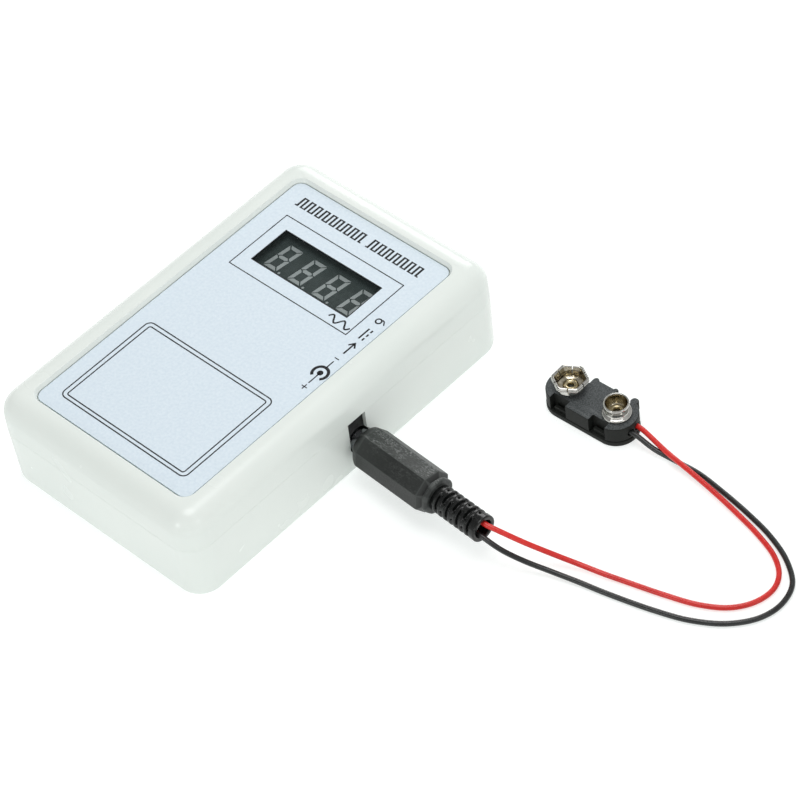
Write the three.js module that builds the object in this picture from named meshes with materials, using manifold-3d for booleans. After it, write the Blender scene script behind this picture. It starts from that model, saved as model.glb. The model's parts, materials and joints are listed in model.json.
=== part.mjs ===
// Hand-held radio frequency counter with a battery lead.
// Units are millimetres. The origin is the centre of the case's underside.
// +X points to the supply socket, +Y to the display end and +Z up out of the front label.

import * as THREE from 'three';
import { mergeVertices } from 'three/addons/utils/BufferGeometryUtils.js';
import Module from 'manifold-3d';

const wasm = await Module();
wasm.setup();

// ---------------------------------------------------------------- driving dimensions

// case
const CASE_WIDTH = 60.7;
const CASE_LENGTH = 95.7;
const CASE_HEIGHT = 24.2;
const CASE_CORNER = 6.1;
const TOP_ROUND = 5.0;
const BASE_ROUND = 1.5;
const WALL = 2.0;
const PARTING_Z = 15.3;
const DRAFT_SLOPE = Math.tan(THREE.MathUtils.degToRad(1.4));
const CEILING_Z = 21.2;
const LIP_HEIGHT = 1.2;
const LIP_THICKNESS = 0.8;

// front label and window
const RECESS_WIDTH = 47.0;
const RECESS_LENGTH = 82.2;
const RECESS_CORNER = 2.4;
const RECESS_FLOOR_Z = 22.95;
const LABEL_TOP_Z = 23.3;
const WINDOW_WIDTH = 29.3;
const WINDOW_LENGTH = 11.1;
const WINDOW_X = -0.26;
const WINDOW_Y = 22.3;
const FILTER_WIDTH = 33.4;
const FILTER_LENGTH = 14.6;

// display module
const DISPLAY_X = -0.2;
const DISPLAY_Y = 22.5;
const DISPLAY_WIDTH = 33.0;
const DISPLAY_LENGTH = 13.6;
const DISPLAY_TOP_Z = 20.9;

// main board
const BOARD_TOP_Z = 13.8;
const BOARD_THICKNESS = 1.6;
const BOARD_WIDTH = 52.6;
const BOARD_LENGTH = 73.0;
const BOARD_X = 0.0;
const BOARD_SCREW_X = 22.0;
const BOARD_SCREW_Y = 32.0;

// screws that hold the two shells together
const CASE_SCREW_X = 24.2;
const CASE_SCREW_Y = 41.5;
const CASE_SCREW_SEAT_Z = 5.0;

// supply socket and the plug that sits in it
const SOCKET_Y = 2.0;
const SOCKET_Z = 7.76;
const SOCKET_MOUTH_X = 29.3;
const SOCKET_BACK_X = 15.3;
const SOCKET_BORE_RADIUS = 3.2;
const SLOT_WIDTH = 5.25;
const SLOT_Y = 1.57;
const PLUG_FRONT = new THREE.Vector3(31.2, 1.84, SOCKET_Z);
const PLUG_YAW = THREE.MathUtils.degToRad(-2.9);
const PLUG_ROLL = THREE.MathUtils.degToRad(-8.0);
const PLUG_BODY_RADIUS = 4.8;
const PLUG_BODY_LENGTH = 23.1;
const BARREL_RADIUS = 2.75;
const BARREL_LENGTH = 9.5;
const RELIEF_START = 23.1;
const RELIEF_LENGTH = 13.2;

// battery snap
const SNAP_CENTRE = new THREE.Vector3(60.0, 42.8, 0);
const SNAP_TURN = THREE.MathUtils.degToRad(2.0);
const SNAP_LENGTH = 23.2;
const SNAP_WIDTH = 10.2;
const SNAP_BASE_THICKNESS = 1.3;
const SNAP_TOP_Z = 5.25;
const CONTACT_SPACING = 12.7;
const CONTACT_OFFSET = 0.5;

// lead
const WIRE_DIAMETER = 1.2;
const RED_ROUTE = [
  [67.75, 0.5, 9.0], [71.3, 1.6, 8.0], [75.3, 3.6, 5.9], [80.2, 6.3, 3.4], [85.3, 8.6, 1.7],
  [91.0, 10.4, 0.9], [96.5, 12.0, 0.65], [104.0, 14.0, 0.65], [111.2, 16.4, 0.65],
  [116.7, 19.8, 0.65], [119.8, 24.2, 0.65], [120.6, 28.8, 0.65], [119.2, 32.5, 0.65],
  [115.5, 35.7, 0.65], [109.5, 38.1, 0.65], [102.3, 39.9, 0.8], [94.6, 41.2, 1.4],
  [87.4, 42.1, 2.0], [80.4, 43.0, 2.3], [72.4, 44.3, 3.0],
];
const BLACK_ROUTE = [
  [67.65, -1.2, 6.9], [72.4, -0.5, 5.3], [76.9, 1.4, 3.2], [82.3, 3.7, 1.6], [88.0, 5.5, 0.85],
  [94.3, 6.9, 0.65], [105.0, 9.6, 0.65], [112.4, 12.2, 0.65], [118.8, 16.2, 0.65],
  [123.0, 21.4, 0.65], [124.3, 26.8, 0.65], [122.9, 32.2, 0.65], [118.2, 36.4, 0.65],
  [111.6, 39.4, 0.65], [104.2, 41.3, 0.65], [95.6, 42.8, 0.65], [88.6, 43.6, 0.65],
  [83.0, 43.2, 0.8], [77.6, 42.3, 1.8], [72.45, 42.2, 3.0],
];

// ---------------------------------------------------------------- solid helpers

function solid(geometry) {
  const bare = geometry.index ? geometry.clone() : geometry;
  bare.deleteAttribute('normal');
  bare.deleteAttribute('uv');
  const merged = mergeVertices(bare, 1e-4);
  const corners = merged.index.array;
  const triangles = [];
  for (let i = 0; i < corners.length; i += 3) {
    const [a, b, c] = [corners[i], corners[i + 1], corners[i + 2]];
    if (a !== b && b !== c && c !== a) triangles.push(a, b, c);
  }
  return new wasm.Manifold(new wasm.Mesh({
    numProp: 3,
    vertProperties: new Float32Array(merged.attributes.position.array),
    triVerts: new Uint32Array(triangles),
  }));
}

function toGeometry(body) {
  const mesh = body.getMesh();
  const geometry = new THREE.BufferGeometry();
  geometry.setAttribute('position', new THREE.BufferAttribute(new Float32Array(mesh.vertProperties), 3));
  geometry.setIndex(new THREE.BufferAttribute(new Uint32Array(mesh.triVerts), 1));
  geometry.computeVertexNormals();
  return geometry;
}

function block(x0, x1, y0, y1, z0, z1) {
  const geometry = new THREE.BoxGeometry(x1 - x0, y1 - y0, z1 - z0);
  geometry.translate((x0 + x1) / 2, (y0 + y1) / 2, (z0 + z1) / 2);
  return solid(geometry);
}

function uprightCylinder(x, y, radius, z0, z1, sides = 24) {
  const geometry = new THREE.CylinderGeometry(radius, radius, z1 - z0, sides);
  geometry.rotateX(Math.PI / 2);
  geometry.translate(x, y, (z0 + z1) / 2);
  return solid(geometry);
}

function levelCylinder(y, z, radius, x0, x1, sides = 24) {
  const geometry = new THREE.CylinderGeometry(radius, radius, x1 - x0, sides);
  geometry.rotateZ(-Math.PI / 2);
  geometry.translate((x0 + x1) / 2, y, z);
  return solid(geometry);
}

// profile is a list of [radius, height] pairs from the axis at the bottom to the axis at the top
function turned(profile, sides) {
  const points = profile.map(([radius, height]) => new THREE.Vector2(radius, height));
  const geometry = new THREE.LatheGeometry(points, sides);
  geometry.rotateX(Math.PI / 2);
  return solid(geometry);
}

function roundedOutline(width, length, corner, steps = 6) {
  const shape = new THREE.Shape();
  const x = width / 2 - corner;
  const y = length / 2 - corner;
  const centres = [[x, y, 0], [-x, y, 90], [-x, -y, 180], [x, -y, 270]];
  const points = [];
  for (const [cx, cy, start] of centres) {
    for (let i = 0; i <= steps; i += 1) {
      const angle = THREE.MathUtils.degToRad(start + (90 * i) / steps);
      points.push(new THREE.Vector2(cx + corner * Math.cos(angle), cy + corner * Math.sin(angle)));
    }
  }
  shape.setFromPoints(points);
  return shape;
}

function plate(outline, z0, z1) {
  const geometry = new THREE.ExtrudeGeometry(outline, { depth: z1 - z0, bevelEnabled: false });
  geometry.translate(0, 0, z0);
  return solid(geometry);
}

// a plate whose upper and lower edges are both rounded
function roundedPlate(outline, z0, z1, edge, steps = 5) {
  const geometry = new THREE.ExtrudeGeometry(outline, {
    depth: z1 - z0 - 2 * edge,
    bevelEnabled: true,
    bevelThickness: edge,
    bevelSize: edge,
    bevelOffset: -edge,
    bevelSegments: steps,
  });
  geometry.translate(0, 0, z0 + edge);
  return geometry;
}

function roundCable(points, diameter, steps, sides = 8) {
  const curve = new THREE.CatmullRomCurve3(points.map((p) => new THREE.Vector3(...p)), false, 'centripetal');
  const outline = new THREE.Shape();
  const corners = [];
  for (let i = 0; i < sides; i += 1) {
    const angle = (i * 2 * Math.PI) / sides;
    corners.push(new THREE.Vector2(diameter / 2 * Math.cos(angle), diameter / 2 * Math.sin(angle)));
  }
  outline.setFromPoints(corners);
  return solid(new THREE.ExtrudeGeometry(outline, { steps, extrudePath: curve, bevelEnabled: false }));
}

function union(bodies) {
  return bodies.reduce((whole, piece) => whole.add(piece));
}

function cutAll(body, cutters) {
  return cutters.reduce((rest, cutter) => rest.subtract(cutter), body);
}

const fourCorners = [[1, 1], [-1, 1], [-1, -1], [1, -1]];

// ---------------------------------------------------------------- materials

const colours = {
  ivory_plastic: [0xe4ece6, 0.55, 0.0],
  label_film: [0xdbe8f0, 0.45, 0.0],
  smoked_window: [0x2a3433, 0.15, 0.0],
  display_black: [0x20282a, 0.5, 0.0],
  epoxy: [0xcfc9b4, 0.6, 0.0],
  board_green: [0x2d6b46, 0.5, 0.0],
  chip_black: [0x1d1d1f, 0.55, 0.0],
  tin: [0xc9ccd0, 0.3, 1.0],
  brass: [0xb99b5a, 0.35, 1.0],
  steel: [0xaeb2b6, 0.35, 1.0],
  resistor_tan: [0xc9a673, 0.6, 0.0],
  copper: [0xb8683c, 0.35, 1.0],
  socket_black: [0x161718, 0.5, 0.0],
  plug_matte: [0x2b2e30, 0.7, 0.0],
  relief_gloss: [0x101112, 0.3, 0.0],
  wire_red: [0xd8302c, 0.35, 0.0],
  wire_black: [0x141516, 0.35, 0.0],
  snap_black: [0x25282a, 0.6, 0.0],
  nickel: [0xd9d8d2, 0.2, 1.0],
};

const group = new THREE.Group();
group.name = 'frequency_counter';

function addPiece(name, body, slot) {
  const [color, roughness, metalness] = colours[slot];
  const material = new THREE.MeshStandardMaterial({ color, roughness, metalness });
  const mesh = new THREE.Mesh(toGeometry(body), material);
  mesh.name = name;
  group.add(mesh);
}

// ---------------------------------------------------------------- case

// draws the walls in slightly on the way from the parting line, upwards for +1 and downwards for -1
function withDraft(geometry, direction) {
  const position = geometry.attributes.position;
  for (let i = 0; i < position.count; i += 1) {
    const inset = direction * (position.getZ(i) - PARTING_Z) * DRAFT_SLOPE;
    position.setX(i, position.getX(i) * (1 - inset / (CASE_WIDTH / 2)));
    position.setY(i, position.getY(i) * (1 - inset / (CASE_LENGTH / 2)));
  }
  return geometry;
}

function caseOutline(inset) {
  return roundedOutline(CASE_WIDTH - 2 * inset, CASE_LENGTH - 2 * inset, CASE_CORNER - inset);
}

function lipRing(z0, z1, inset, thickness) {
  return plate(caseOutline(inset), z0, z1).subtract(plate(caseOutline(inset + thickness), z0 - 1, z1 + 1));
}

function makeTopShell() {
  const above = block(-50, 50, -60, 60, PARTING_Z, 40);
  const outer = solid(withDraft(roundedPlate(caseOutline(0), PARTING_Z - 12, CASE_HEIGHT, TOP_ROUND), 1));
  const inner = solid(roundedPlate(caseOutline(WALL), PARTING_Z - 12, CEILING_Z, 3, 3));
  const columns = fourCorners.map(([sx, sy]) => uprightCylinder(
    sx * CASE_SCREW_X, sy * CASE_SCREW_Y, 3.2, PARTING_Z - LIP_HEIGHT, CEILING_Z + 0.6, 16,
  ));
  const pilots = fourCorners.map(([sx, sy]) => uprightCylinder(
    sx * CASE_SCREW_X, sy * CASE_SCREW_Y, 1.45, PARTING_Z - 3, CEILING_Z, 12,
  ));
  const recess = plate(roundedOutline(RECESS_WIDTH, RECESS_LENGTH, RECESS_CORNER, 4), RECESS_FLOOR_Z, 30);
  const window = block(
    WINDOW_X - FILTER_WIDTH / 2 - 0.3, WINDOW_X + FILTER_WIDTH / 2 + 0.3,
    WINDOW_Y - FILTER_LENGTH / 2 - 0.3, WINDOW_Y + FILTER_LENGTH / 2 + 0.3, 15, 30,
  );
  const rebate = lipRing(PARTING_Z - 1, PARTING_Z + LIP_HEIGHT + 0.2, WALL - LIP_THICKNESS - 0.15, 1.6);
  const shell = cutAll(outer.intersect(above).subtract(inner), [recess, window, rebate]);
  return cutAll(shell.add(union(columns)), pilots);
}

function makeBottomShell() {
  const below = block(-50, 50, -60, 60, -1, PARTING_Z - 0.12);
  const outer = solid(withDraft(roundedPlate(caseOutline(0), 0, PARTING_Z + 12, BASE_ROUND, 3), -1));
  const inner = solid(roundedPlate(caseOutline(WALL), WALL, PARTING_Z + 12, 1, 2));
  const lip = lipRing(PARTING_Z - 2, PARTING_Z + LIP_HEIGHT, WALL - LIP_THICKNESS, LIP_THICKNESS + 0.3);
  const columns = fourCorners.map(([sx, sy]) => uprightCylinder(
    sx * CASE_SCREW_X, sy * CASE_SCREW_Y, 3.9, WALL - 0.5, PARTING_Z - LIP_HEIGHT - 0.2, 16,
  ));
  const standoffs = fourCorners.map(([sx, sy]) => uprightCylinder(
    sx * BOARD_SCREW_X, sy * BOARD_SCREW_Y, 3.0, WALL - 0.5, BOARD_TOP_Z - BOARD_THICKNESS - 0.05, 16,
  ));
  const counterbores = fourCorners.map(([sx, sy]) => uprightCylinder(
    sx * CASE_SCREW_X, sy * CASE_SCREW_Y, 2.9, -1, CASE_SCREW_SEAT_Z, 16,
  ));
  const clearances = fourCorners.map(([sx, sy]) => uprightCylinder(
    sx * CASE_SCREW_X, sy * CASE_SCREW_Y, 1.7, 0, PARTING_Z, 12,
  ));
  const pilots = fourCorners.map(([sx, sy]) => uprightCylinder(
    sx * BOARD_SCREW_X, sy * BOARD_SCREW_Y, 1.25, 4, PARTING_Z, 12,
  ));
  const socketPocket = block(SOCKET_MOUTH_X - 6, SOCKET_MOUTH_X + 0.2, SOCKET_Y - 4.8, SOCKET_Y + 4.8, 3, 30);
  const slot = block(25, 40, SLOT_Y - SLOT_WIDTH / 2, SLOT_Y + SLOT_WIDTH / 2, SOCKET_Z, 30);
  const plugHole = levelCylinder(SOCKET_Y - 0.1, SOCKET_Z, 3.25, 25, 40, 20);
  const shell = outer.intersect(below).subtract(inner).add(lip).add(union(columns)).add(union(standoffs));
  return cutAll(shell, [...counterbores, ...clearances, ...pilots, socketPocket, slot, plugHole]);
}

function makeCaseScrew(sx, sy) {
  const screw = turned([
    [0, 0], [2.5, 0], [2.7, 0.5], [2.7, 1.5], [1.3, 1.7], [1.3, 13.0], [0, 14.2],
  ], 12);
  const driveSlots = block(-1.5, 1.5, -0.3, 0.3, -1, 1.0).add(block(-0.3, 0.3, -1.5, 1.5, -1, 1.0));
  return screw.subtract(driveSlots).translate([
    sx * CASE_SCREW_X, sy * CASE_SCREW_Y, CASE_SCREW_SEAT_Z - 1.75,
  ]);
}

// ---------------------------------------------------------------- front label and display

function makeFrontLabel() {
  const film = plate(roundedOutline(RECESS_WIDTH - 0.4, RECESS_LENGTH - 0.4, RECESS_CORNER - 0.2, 4),
    RECESS_FLOOR_Z + 0.02, LABEL_TOP_Z);
  const opening = block(
    WINDOW_X - WINDOW_WIDTH / 2, WINDOW_X + WINDOW_WIDTH / 2,
    WINDOW_Y - WINDOW_LENGTH / 2, WINDOW_Y + WINDOW_LENGTH / 2, 20, 30,
  );
  return film.subtract(opening);
}

function makeDisplayFilter() {
  const pane = block(
    WINDOW_X - FILTER_WIDTH / 2, WINDOW_X + FILTER_WIDTH / 2,
    WINDOW_Y - FILTER_LENGTH / 2, WINDOW_Y + FILTER_LENGTH / 2, CEILING_Z + 0.1, RECESS_FLOOR_Z - 0.03,
  );
  const raisedPanel = block(
    WINDOW_X - WINDOW_WIDTH / 2 + 0.1, WINDOW_X + WINDOW_WIDTH / 2 - 0.1,
    WINDOW_Y - WINDOW_LENGTH / 2 + 0.1, WINDOW_Y + WINDOW_LENGTH / 2 - 0.1, CEILING_Z + 0.5, LABEL_TOP_Z - 0.08,
  );
  return pane.add(raisedPanel);
}

function pinRows(z0, z1, halfSize) {
  const pins = [];
  for (const row of [-5.08, 5.08]) {
    for (let i = 0; i < 6; i += 1) {
      const x = (i - 2.5) * 2.54;
      pins.push(block(x - halfSize, x + halfSize, row - halfSize, row + halfSize, z0, z1));
    }
  }
  return union(pins);
}

function makeDisplayHousing() {
  const body = block(-DISPLAY_WIDTH / 2, DISPLAY_WIDTH / 2, -DISPLAY_LENGTH / 2, DISPLAY_LENGTH / 2,
    BOARD_TOP_Z + 0.05, DISPLAY_TOP_Z);
  const potting = block(-DISPLAY_WIDTH / 2 + 1, DISPLAY_WIDTH / 2 - 1, -DISPLAY_LENGTH / 2 + 1,
    DISPLAY_LENGTH / 2 - 1, BOARD_TOP_Z - 1, BOARD_TOP_Z + 2);
  return body.subtract(potting).translate([DISPLAY_X, DISPLAY_Y, 0]);
}

function makeDisplayPinPlate() {
  const potting = block(-DISPLAY_WIDTH / 2 + 1.1, DISPLAY_WIDTH / 2 - 1.1, -DISPLAY_LENGTH / 2 + 1.1,
    DISPLAY_LENGTH / 2 - 1.1, BOARD_TOP_Z + 0.4, BOARD_TOP_Z + 1.9);
  const pins = pinRows(BOARD_TOP_Z - BOARD_THICKNESS - 1.2, BOARD_TOP_Z + 1, 0.25);
  return potting.add(pins).translate([DISPLAY_X, DISPLAY_Y, 0]);
}

// ---------------------------------------------------------------- main board and its parts

function makeMainBoard() {
  const z0 = BOARD_TOP_Z - BOARD_THICKNESS;
  const sheet = block(BOARD_X - BOARD_WIDTH / 2, BOARD_X + BOARD_WIDTH / 2,
    -BOARD_LENGTH / 2, BOARD_LENGTH / 2, z0, BOARD_TOP_Z);
  const screwHoles = fourCorners.map(([sx, sy]) => uprightCylinder(
    sx * BOARD_SCREW_X, sy * BOARD_SCREW_Y, 1.5, z0 - 1, BOARD_TOP_Z + 1, 12,
  ));
  const pinHoles = pinRows(z0 - 1, BOARD_TOP_Z + 1, 0.4).translate([DISPLAY_X, DISPLAY_Y, 0]);
  return cutAll(sheet, [...screwHoles, pinHoles]);
}

function makeBoardScrew(sx, sy) {
  const screw = turned([
    [0, -6.5], [1.05, -5.8], [1.05, 0.05], [2.4, 0.05], [2.4, 1.0], [1.8, 1.6], [0, 1.6],
  ], 12);
  const driveSlot = block(-1.7, 1.7, -0.3, 0.3, 0.9, 3).add(block(-0.3, 0.3, -1.7, 1.7, 0.9, 3));
  return screw.subtract(driveSlot).translate([sx * BOARD_SCREW_X, sy * BOARD_SCREW_Y, BOARD_TOP_Z + 0.05]);
}

function makeChip(x, y, length, width, height, legsPerSide) {
  const z = BOARD_TOP_Z + 0.05;
  const pieces = [block(x - length / 2, x + length / 2, y - width / 2, y + width / 2, z + 0.5, z + 0.5 + height)];
  const pitch = (length - 1.2) / (legsPerSide - 1);
  for (let i = 0; i < legsPerSide; i += 1) {
    const legX = x - length / 2 + 0.6 + i * pitch;
    pieces.push(block(legX - 0.25, legX + 0.25, y - width / 2 - 1.0, y + width / 2 + 1.0, z + 0.7, z + 1.1));
    for (const side of [-1, 1]) {
      const foot = y + side * (width / 2 + 0.85);
      pieces.push(block(legX - 0.25, legX + 0.25, foot - 0.2, foot + 0.2, z, z + 1.0));
    }
  }
  return union(pieces);
}

function makeCrystal(x, y) {
  const can = solid(roundedPlate(roundedOutline(11.0, 4.6, 2.2, 4), 0.3, 3.8, 0.4, 2));
  const flange = plate(roundedOutline(11.6, 5.2, 2.5, 4), 0, 0.5);
  return can.add(flange).translate([x, y, BOARD_TOP_Z + 0.05]);
}

function makeCapacitor(x, y) {
  const can = turned([
    [0, 0], [2.9, 0], [3.0, 0.3], [3.0, 0.9], [2.8, 1.1], [2.8, 1.3], [3.0, 1.5], [3.0, 6.2], [2.7, 6.5], [0, 6.5],
  ], 16);
  return can.translate([x, y, BOARD_TOP_Z + 0.05]);
}

function makeResistor(x, y) {
  const body = levelCylinder(0, 1.4, 0.8, -2.6, 2.6, 10);
  const caps = levelCylinder(0, 1.4, 1.0, -3.0, -1.8, 10).add(levelCylinder(0, 1.4, 1.0, 1.8, 3.0, 10));
  const lead = block(-4.2, 4.2, -0.25, 0.25, 1.15, 1.65);
  const legs = block(-4.2, -3.7, -0.25, 0.25, 0, 1.5).add(block(3.7, 4.2, -0.25, 0.25, 0, 1.5));
  return union([body, caps, lead, legs]).translate([x, y, BOARD_TOP_Z + 0.05]);
}

function makeRegulator(x, y) {
  const round = uprightCylinder(0, 0, 2.4, 1.8, 6.4, 16);
  const body = round.intersect(block(-3, 3, -1.4, 3, 0, 8));
  const legs = [-1.27, 0, 1.27].map((dx) => block(dx - 0.25, dx + 0.25, -0.25, 0.25, 0, 2.2));
  return union([body, ...legs]).translate([x, y, BOARD_TOP_Z + 0.05]);
}

function makePickupLoop() {
  const z = BOARD_TOP_Z + 2.2;
  const foot = BOARD_TOP_Z + 0.1;
  const route = [
    [-1.2, -12.0, foot], [-1.2, -12.0, z - 0.6], [-1.9, -12.0, z], [-14, -12.0, z], [-15, -13.0, z],
    [-15, -32.0, z], [-14, -33.0, z], [13.4, -33.0, z], [14.4, -32.0, z], [14.4, -13.0, z],
    [13.4, -12.0, z], [1.9, -12.0, z], [1.2, -12.0, z - 0.6], [1.2, -12.0, foot],
  ];
  return roundCable(route, 0.9, 44, 6);
}

// ---------------------------------------------------------------- supply socket

function makeSocketHousing() {
  const top = BOARD_TOP_Z - BOARD_THICKNESS - 0.1;
  const body = block(SOCKET_BACK_X, SOCKET_MOUTH_X, SOCKET_Y - 4.5, SOCKET_Y + 4.5, SOCKET_Z - 4.4, top);
  const flange = block(SOCKET_MOUTH_X - 2.6, SOCKET_MOUTH_X, SOCKET_Y - 4.5, SOCKET_Y + 4.5,
    SOCKET_Z - 4.4, PARTING_Z - 0.2);
  const bore = levelCylinder(SOCKET_Y, SOCKET_Z, SOCKET_BORE_RADIUS, SOCKET_BACK_X + 2, 40, 24);
  const pinHole = levelCylinder(SOCKET_Y, SOCKET_Z, 1.1, SOCKET_BACK_X - 1, SOCKET_BACK_X + 5, 12);
  const springChannel = block(SOCKET_BACK_X + 2, SOCKET_MOUTH_X - 3, SOCKET_Y - 1.5, SOCKET_Y + 1.5,
    SOCKET_Z - 6, SOCKET_Z - 2);
  return cutAll(body.add(flange), [bore, pinHole, springChannel]);
}

function makeSocketPin() {
  const pin = levelCylinder(SOCKET_Y, SOCKET_Z, 0.95, SOCKET_BACK_X - 0.8, SOCKET_MOUTH_X - 1.3, 12);
  const tab = block(SOCKET_BACK_X - 0.8, SOCKET_BACK_X - 0.2, SOCKET_Y - 1.4, SOCKET_Y + 1.4,
    SOCKET_Z - 1.2, BOARD_TOP_Z - BOARD_THICKNESS - 0.1);
  return pin.add(tab);
}

function makeSocketSpring() {
  const leaf = new THREE.Shape();
  leaf.setFromPoints([
    [17.6, -4.2], [20.0, -4.2], [24.6, -3.25], [26.0, -3.7], [26.0, -3.3], [24.6, -2.9], [20.0, -3.8], [17.6, -3.8],
  ].map(([x, z]) => new THREE.Vector2(x, z)));
  const geometry = new THREE.ExtrudeGeometry(leaf, { depth: 2.4, bevelEnabled: false });
  geometry.rotateX(Math.PI / 2);
  geometry.translate(0, SOCKET_Y + 1.2, SOCKET_Z);
  return solid(geometry);
}

// ---------------------------------------------------------------- plug

// carries a piece drawn along +X from the plug's front face into its place in the socket
function placeOnPlug(body) {
  const place = new THREE.Matrix4().makeRotationZ(PLUG_YAW);
  place.multiply(new THREE.Matrix4().makeRotationX(PLUG_ROLL));
  place.setPosition(PLUG_FRONT);
  return body.transform(place.elements);
}

function octagonStage(x0, x1, radius0, radius1) {
  const geometry = new THREE.CylinderGeometry(radius1, radius0, x1 - x0, 8);
  geometry.rotateY(Math.PI / 8);
  geometry.rotateZ(-Math.PI / 2);
  geometry.translate((x0 + x1) / 2, 0, 0);
  return solid(geometry);
}

function makePlugBody() {
  const r = PLUG_BODY_RADIUS;
  const stages = [
    octagonStage(0, 2.1, r - 1.0, r),
    octagonStage(2.1, PLUG_BODY_LENGTH - 1.8, r, r),
    octagonStage(PLUG_BODY_LENGTH - 1.8, PLUG_BODY_LENGTH, r, r - 1.0),
  ];
  const barrelSeat = levelCylinder(0, 0, BARREL_RADIUS + 0.05, -1, 5, 20);
  return placeOnPlug(union(stages).subtract(barrelSeat));
}

function makeStrainRelief() {
  const start = RELIEF_START + 0.05;
  const profile = [[0, start], [3.15, start]];
  const ribs = 5;
  const pitch = RELIEF_LENGTH / ribs;
  for (let i = 0; i < ribs; i += 1) {
    const x = start + i * pitch;
    profile.push([3.2, x + 0.15], [3.2, x + pitch - 0.75]);
    if (i < ribs - 1) profile.push([2.7, x + pitch - 0.6], [2.7, x + pitch - 0.05]);
  }
  const end = start + RELIEF_LENGTH;
  profile.push([3.0, end], [2.2, end], [2.2, end - 2.5], [0, end - 2.5]);
  const points = profile.map(([radius, x]) => new THREE.Vector2(radius, x));
  const geometry = new THREE.LatheGeometry(points, 16);
  geometry.rotateZ(-Math.PI / 2);
  return placeOnPlug(solid(geometry));
}

function tubeAlongPlug(x0, x1, outer, inner, sides) {
  return levelCylinder(0, 0, outer, x0, x1, sides).subtract(levelCylinder(0, 0, inner, x0 - 1, x1 + 1, sides));
}

// ---------------------------------------------------------------- battery snap

function placeOnSnap(body) {
  const place = new THREE.Matrix4().makeRotationZ(SNAP_TURN);
  place.setPosition(SNAP_CENTRE);
  return body.transform(place.elements);
}

const socketContactX = CONTACT_OFFSET - CONTACT_SPACING / 2;
const studContactX = CONTACT_OFFSET + CONTACT_SPACING / 2;

function makeSnapBase() {
  const sheet = plate(roundedOutline(SNAP_LENGTH, SNAP_WIDTH + 0.3, 5.1), 0, SNAP_BASE_THICKNESS);
  const clips = [-5.6, 5.1].flatMap((x) => [-1, 1].map((side) => block(
    x - 1.6, x + 1.6, side * 4.0 - 0.4, side * 4.0 + 0.4, SNAP_BASE_THICKNESS - 0.2, 3.4,
  )));
  return placeOnSnap(union([sheet, ...clips]));
}

function makeSnapCover() {
  const z0 = SNAP_BASE_THICKNESS + 0.05;
  const body = solid(roundedPlate(roundedOutline(SNAP_LENGTH - 0.2, SNAP_WIDTH, 5.0), z0 - 2, SNAP_TOP_Z, 0.3, 2))
    .intersect(block(-20, 20, -10, 10, z0, 10));
  const notches = [-5.6, 5.1].flatMap((x) => [-1, 1].map((side) => block(
    x - 2.2, x + 2.2, side * 4.6 - 1.3, side * 4.6 + 1.3, 0, 10,
  )));
  const ribs = [-2.9, 2.4, 7.6].map((x) => uprightCylinder(x, SNAP_WIDTH / 2 - 0.15, 0.75, 2.6, SNAP_TOP_Z + 0.35, 10));
  const rivetHoles = [socketContactX, studContactX].map((x) => uprightCylinder(x, 0, 1.25, 0, 10, 12));
  const wireChannels = [-1.05, 1.05].map((y) => levelCylinder(y, 3.0, 0.9, 9.3, 14, 12));
  return placeOnSnap(cutAll(cutAll(body, notches).add(union(ribs)), [...rivetHoles, ...wireChannels]));
}

// the larger contact: a six-sided cup of springy petals that grips a stud
function makeSocketContact() {
  const z0 = SNAP_TOP_Z + 0.03;
  const outline = (radius) => {
    const shape = new THREE.Shape();
    shape.setFromPoints([0, 1, 2, 3, 4, 5].map((i) => {
      const angle = (i * Math.PI) / 3 + Math.PI / 6;
      return new THREE.Vector2(radius * Math.cos(angle), radius * Math.sin(angle));
    }));
    return shape;
  };
  const wall = plate(outline(4.0), z0, z0 + 3.3).subtract(plate(outline(3.45), z0 + 0.5, z0 + 5));
  const slits = [0, 1, 2].map((i) => block(-6, 6, -0.25, 0.25, z0 + 1.3, z0 + 5).rotate([0, 0, i * 60]));
  const rivetHole = uprightCylinder(0, 0, 1.25, 0, 10, 12);
  return placeOnSnap(cutAll(wall, [...slits, rivetHole]).translate([socketContactX, 0, 0]));
}

// the smaller contact: a round stud with a rolled rim and an open top
function makeStudContact() {
  const cup = turned([
    [0, 0], [3.2, 0], [3.3, 0.25], [3.2, 0.5], [2.6, 0.7], [2.45, 1.4], [2.7, 2.5], [2.75, 3.1],
    [2.6, 3.45], [2.35, 3.5], [2.2, 3.2], [2.1, 1.2], [1.9, 0.6], [0, 0.6],
  ], 20);
  const rivetHole = uprightCylinder(0, 0, 1.25, -1, 5, 12);
  return placeOnSnap(cup.subtract(rivetHole).translate([studContactX, 0, SNAP_TOP_Z + 0.03]));
}

function makeContactRivet(x, floorHeight) {
  const head = SNAP_TOP_Z + 0.03 + floorHeight;
  const rivet = turned([
    [0, SNAP_BASE_THICKNESS + 0.3], [0.95, SNAP_BASE_THICKNESS + 0.3], [0.95, head + 0.05], [1.75, head + 0.05],
    [1.7, head + 0.45], [1.2, head + 0.65], [0.9, head + 0.3], [0, head + 0.3],
  ], 12);
  return placeOnSnap(rivet.translate([x, 0, 0]));
}

// ---------------------------------------------------------------- assembly

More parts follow.
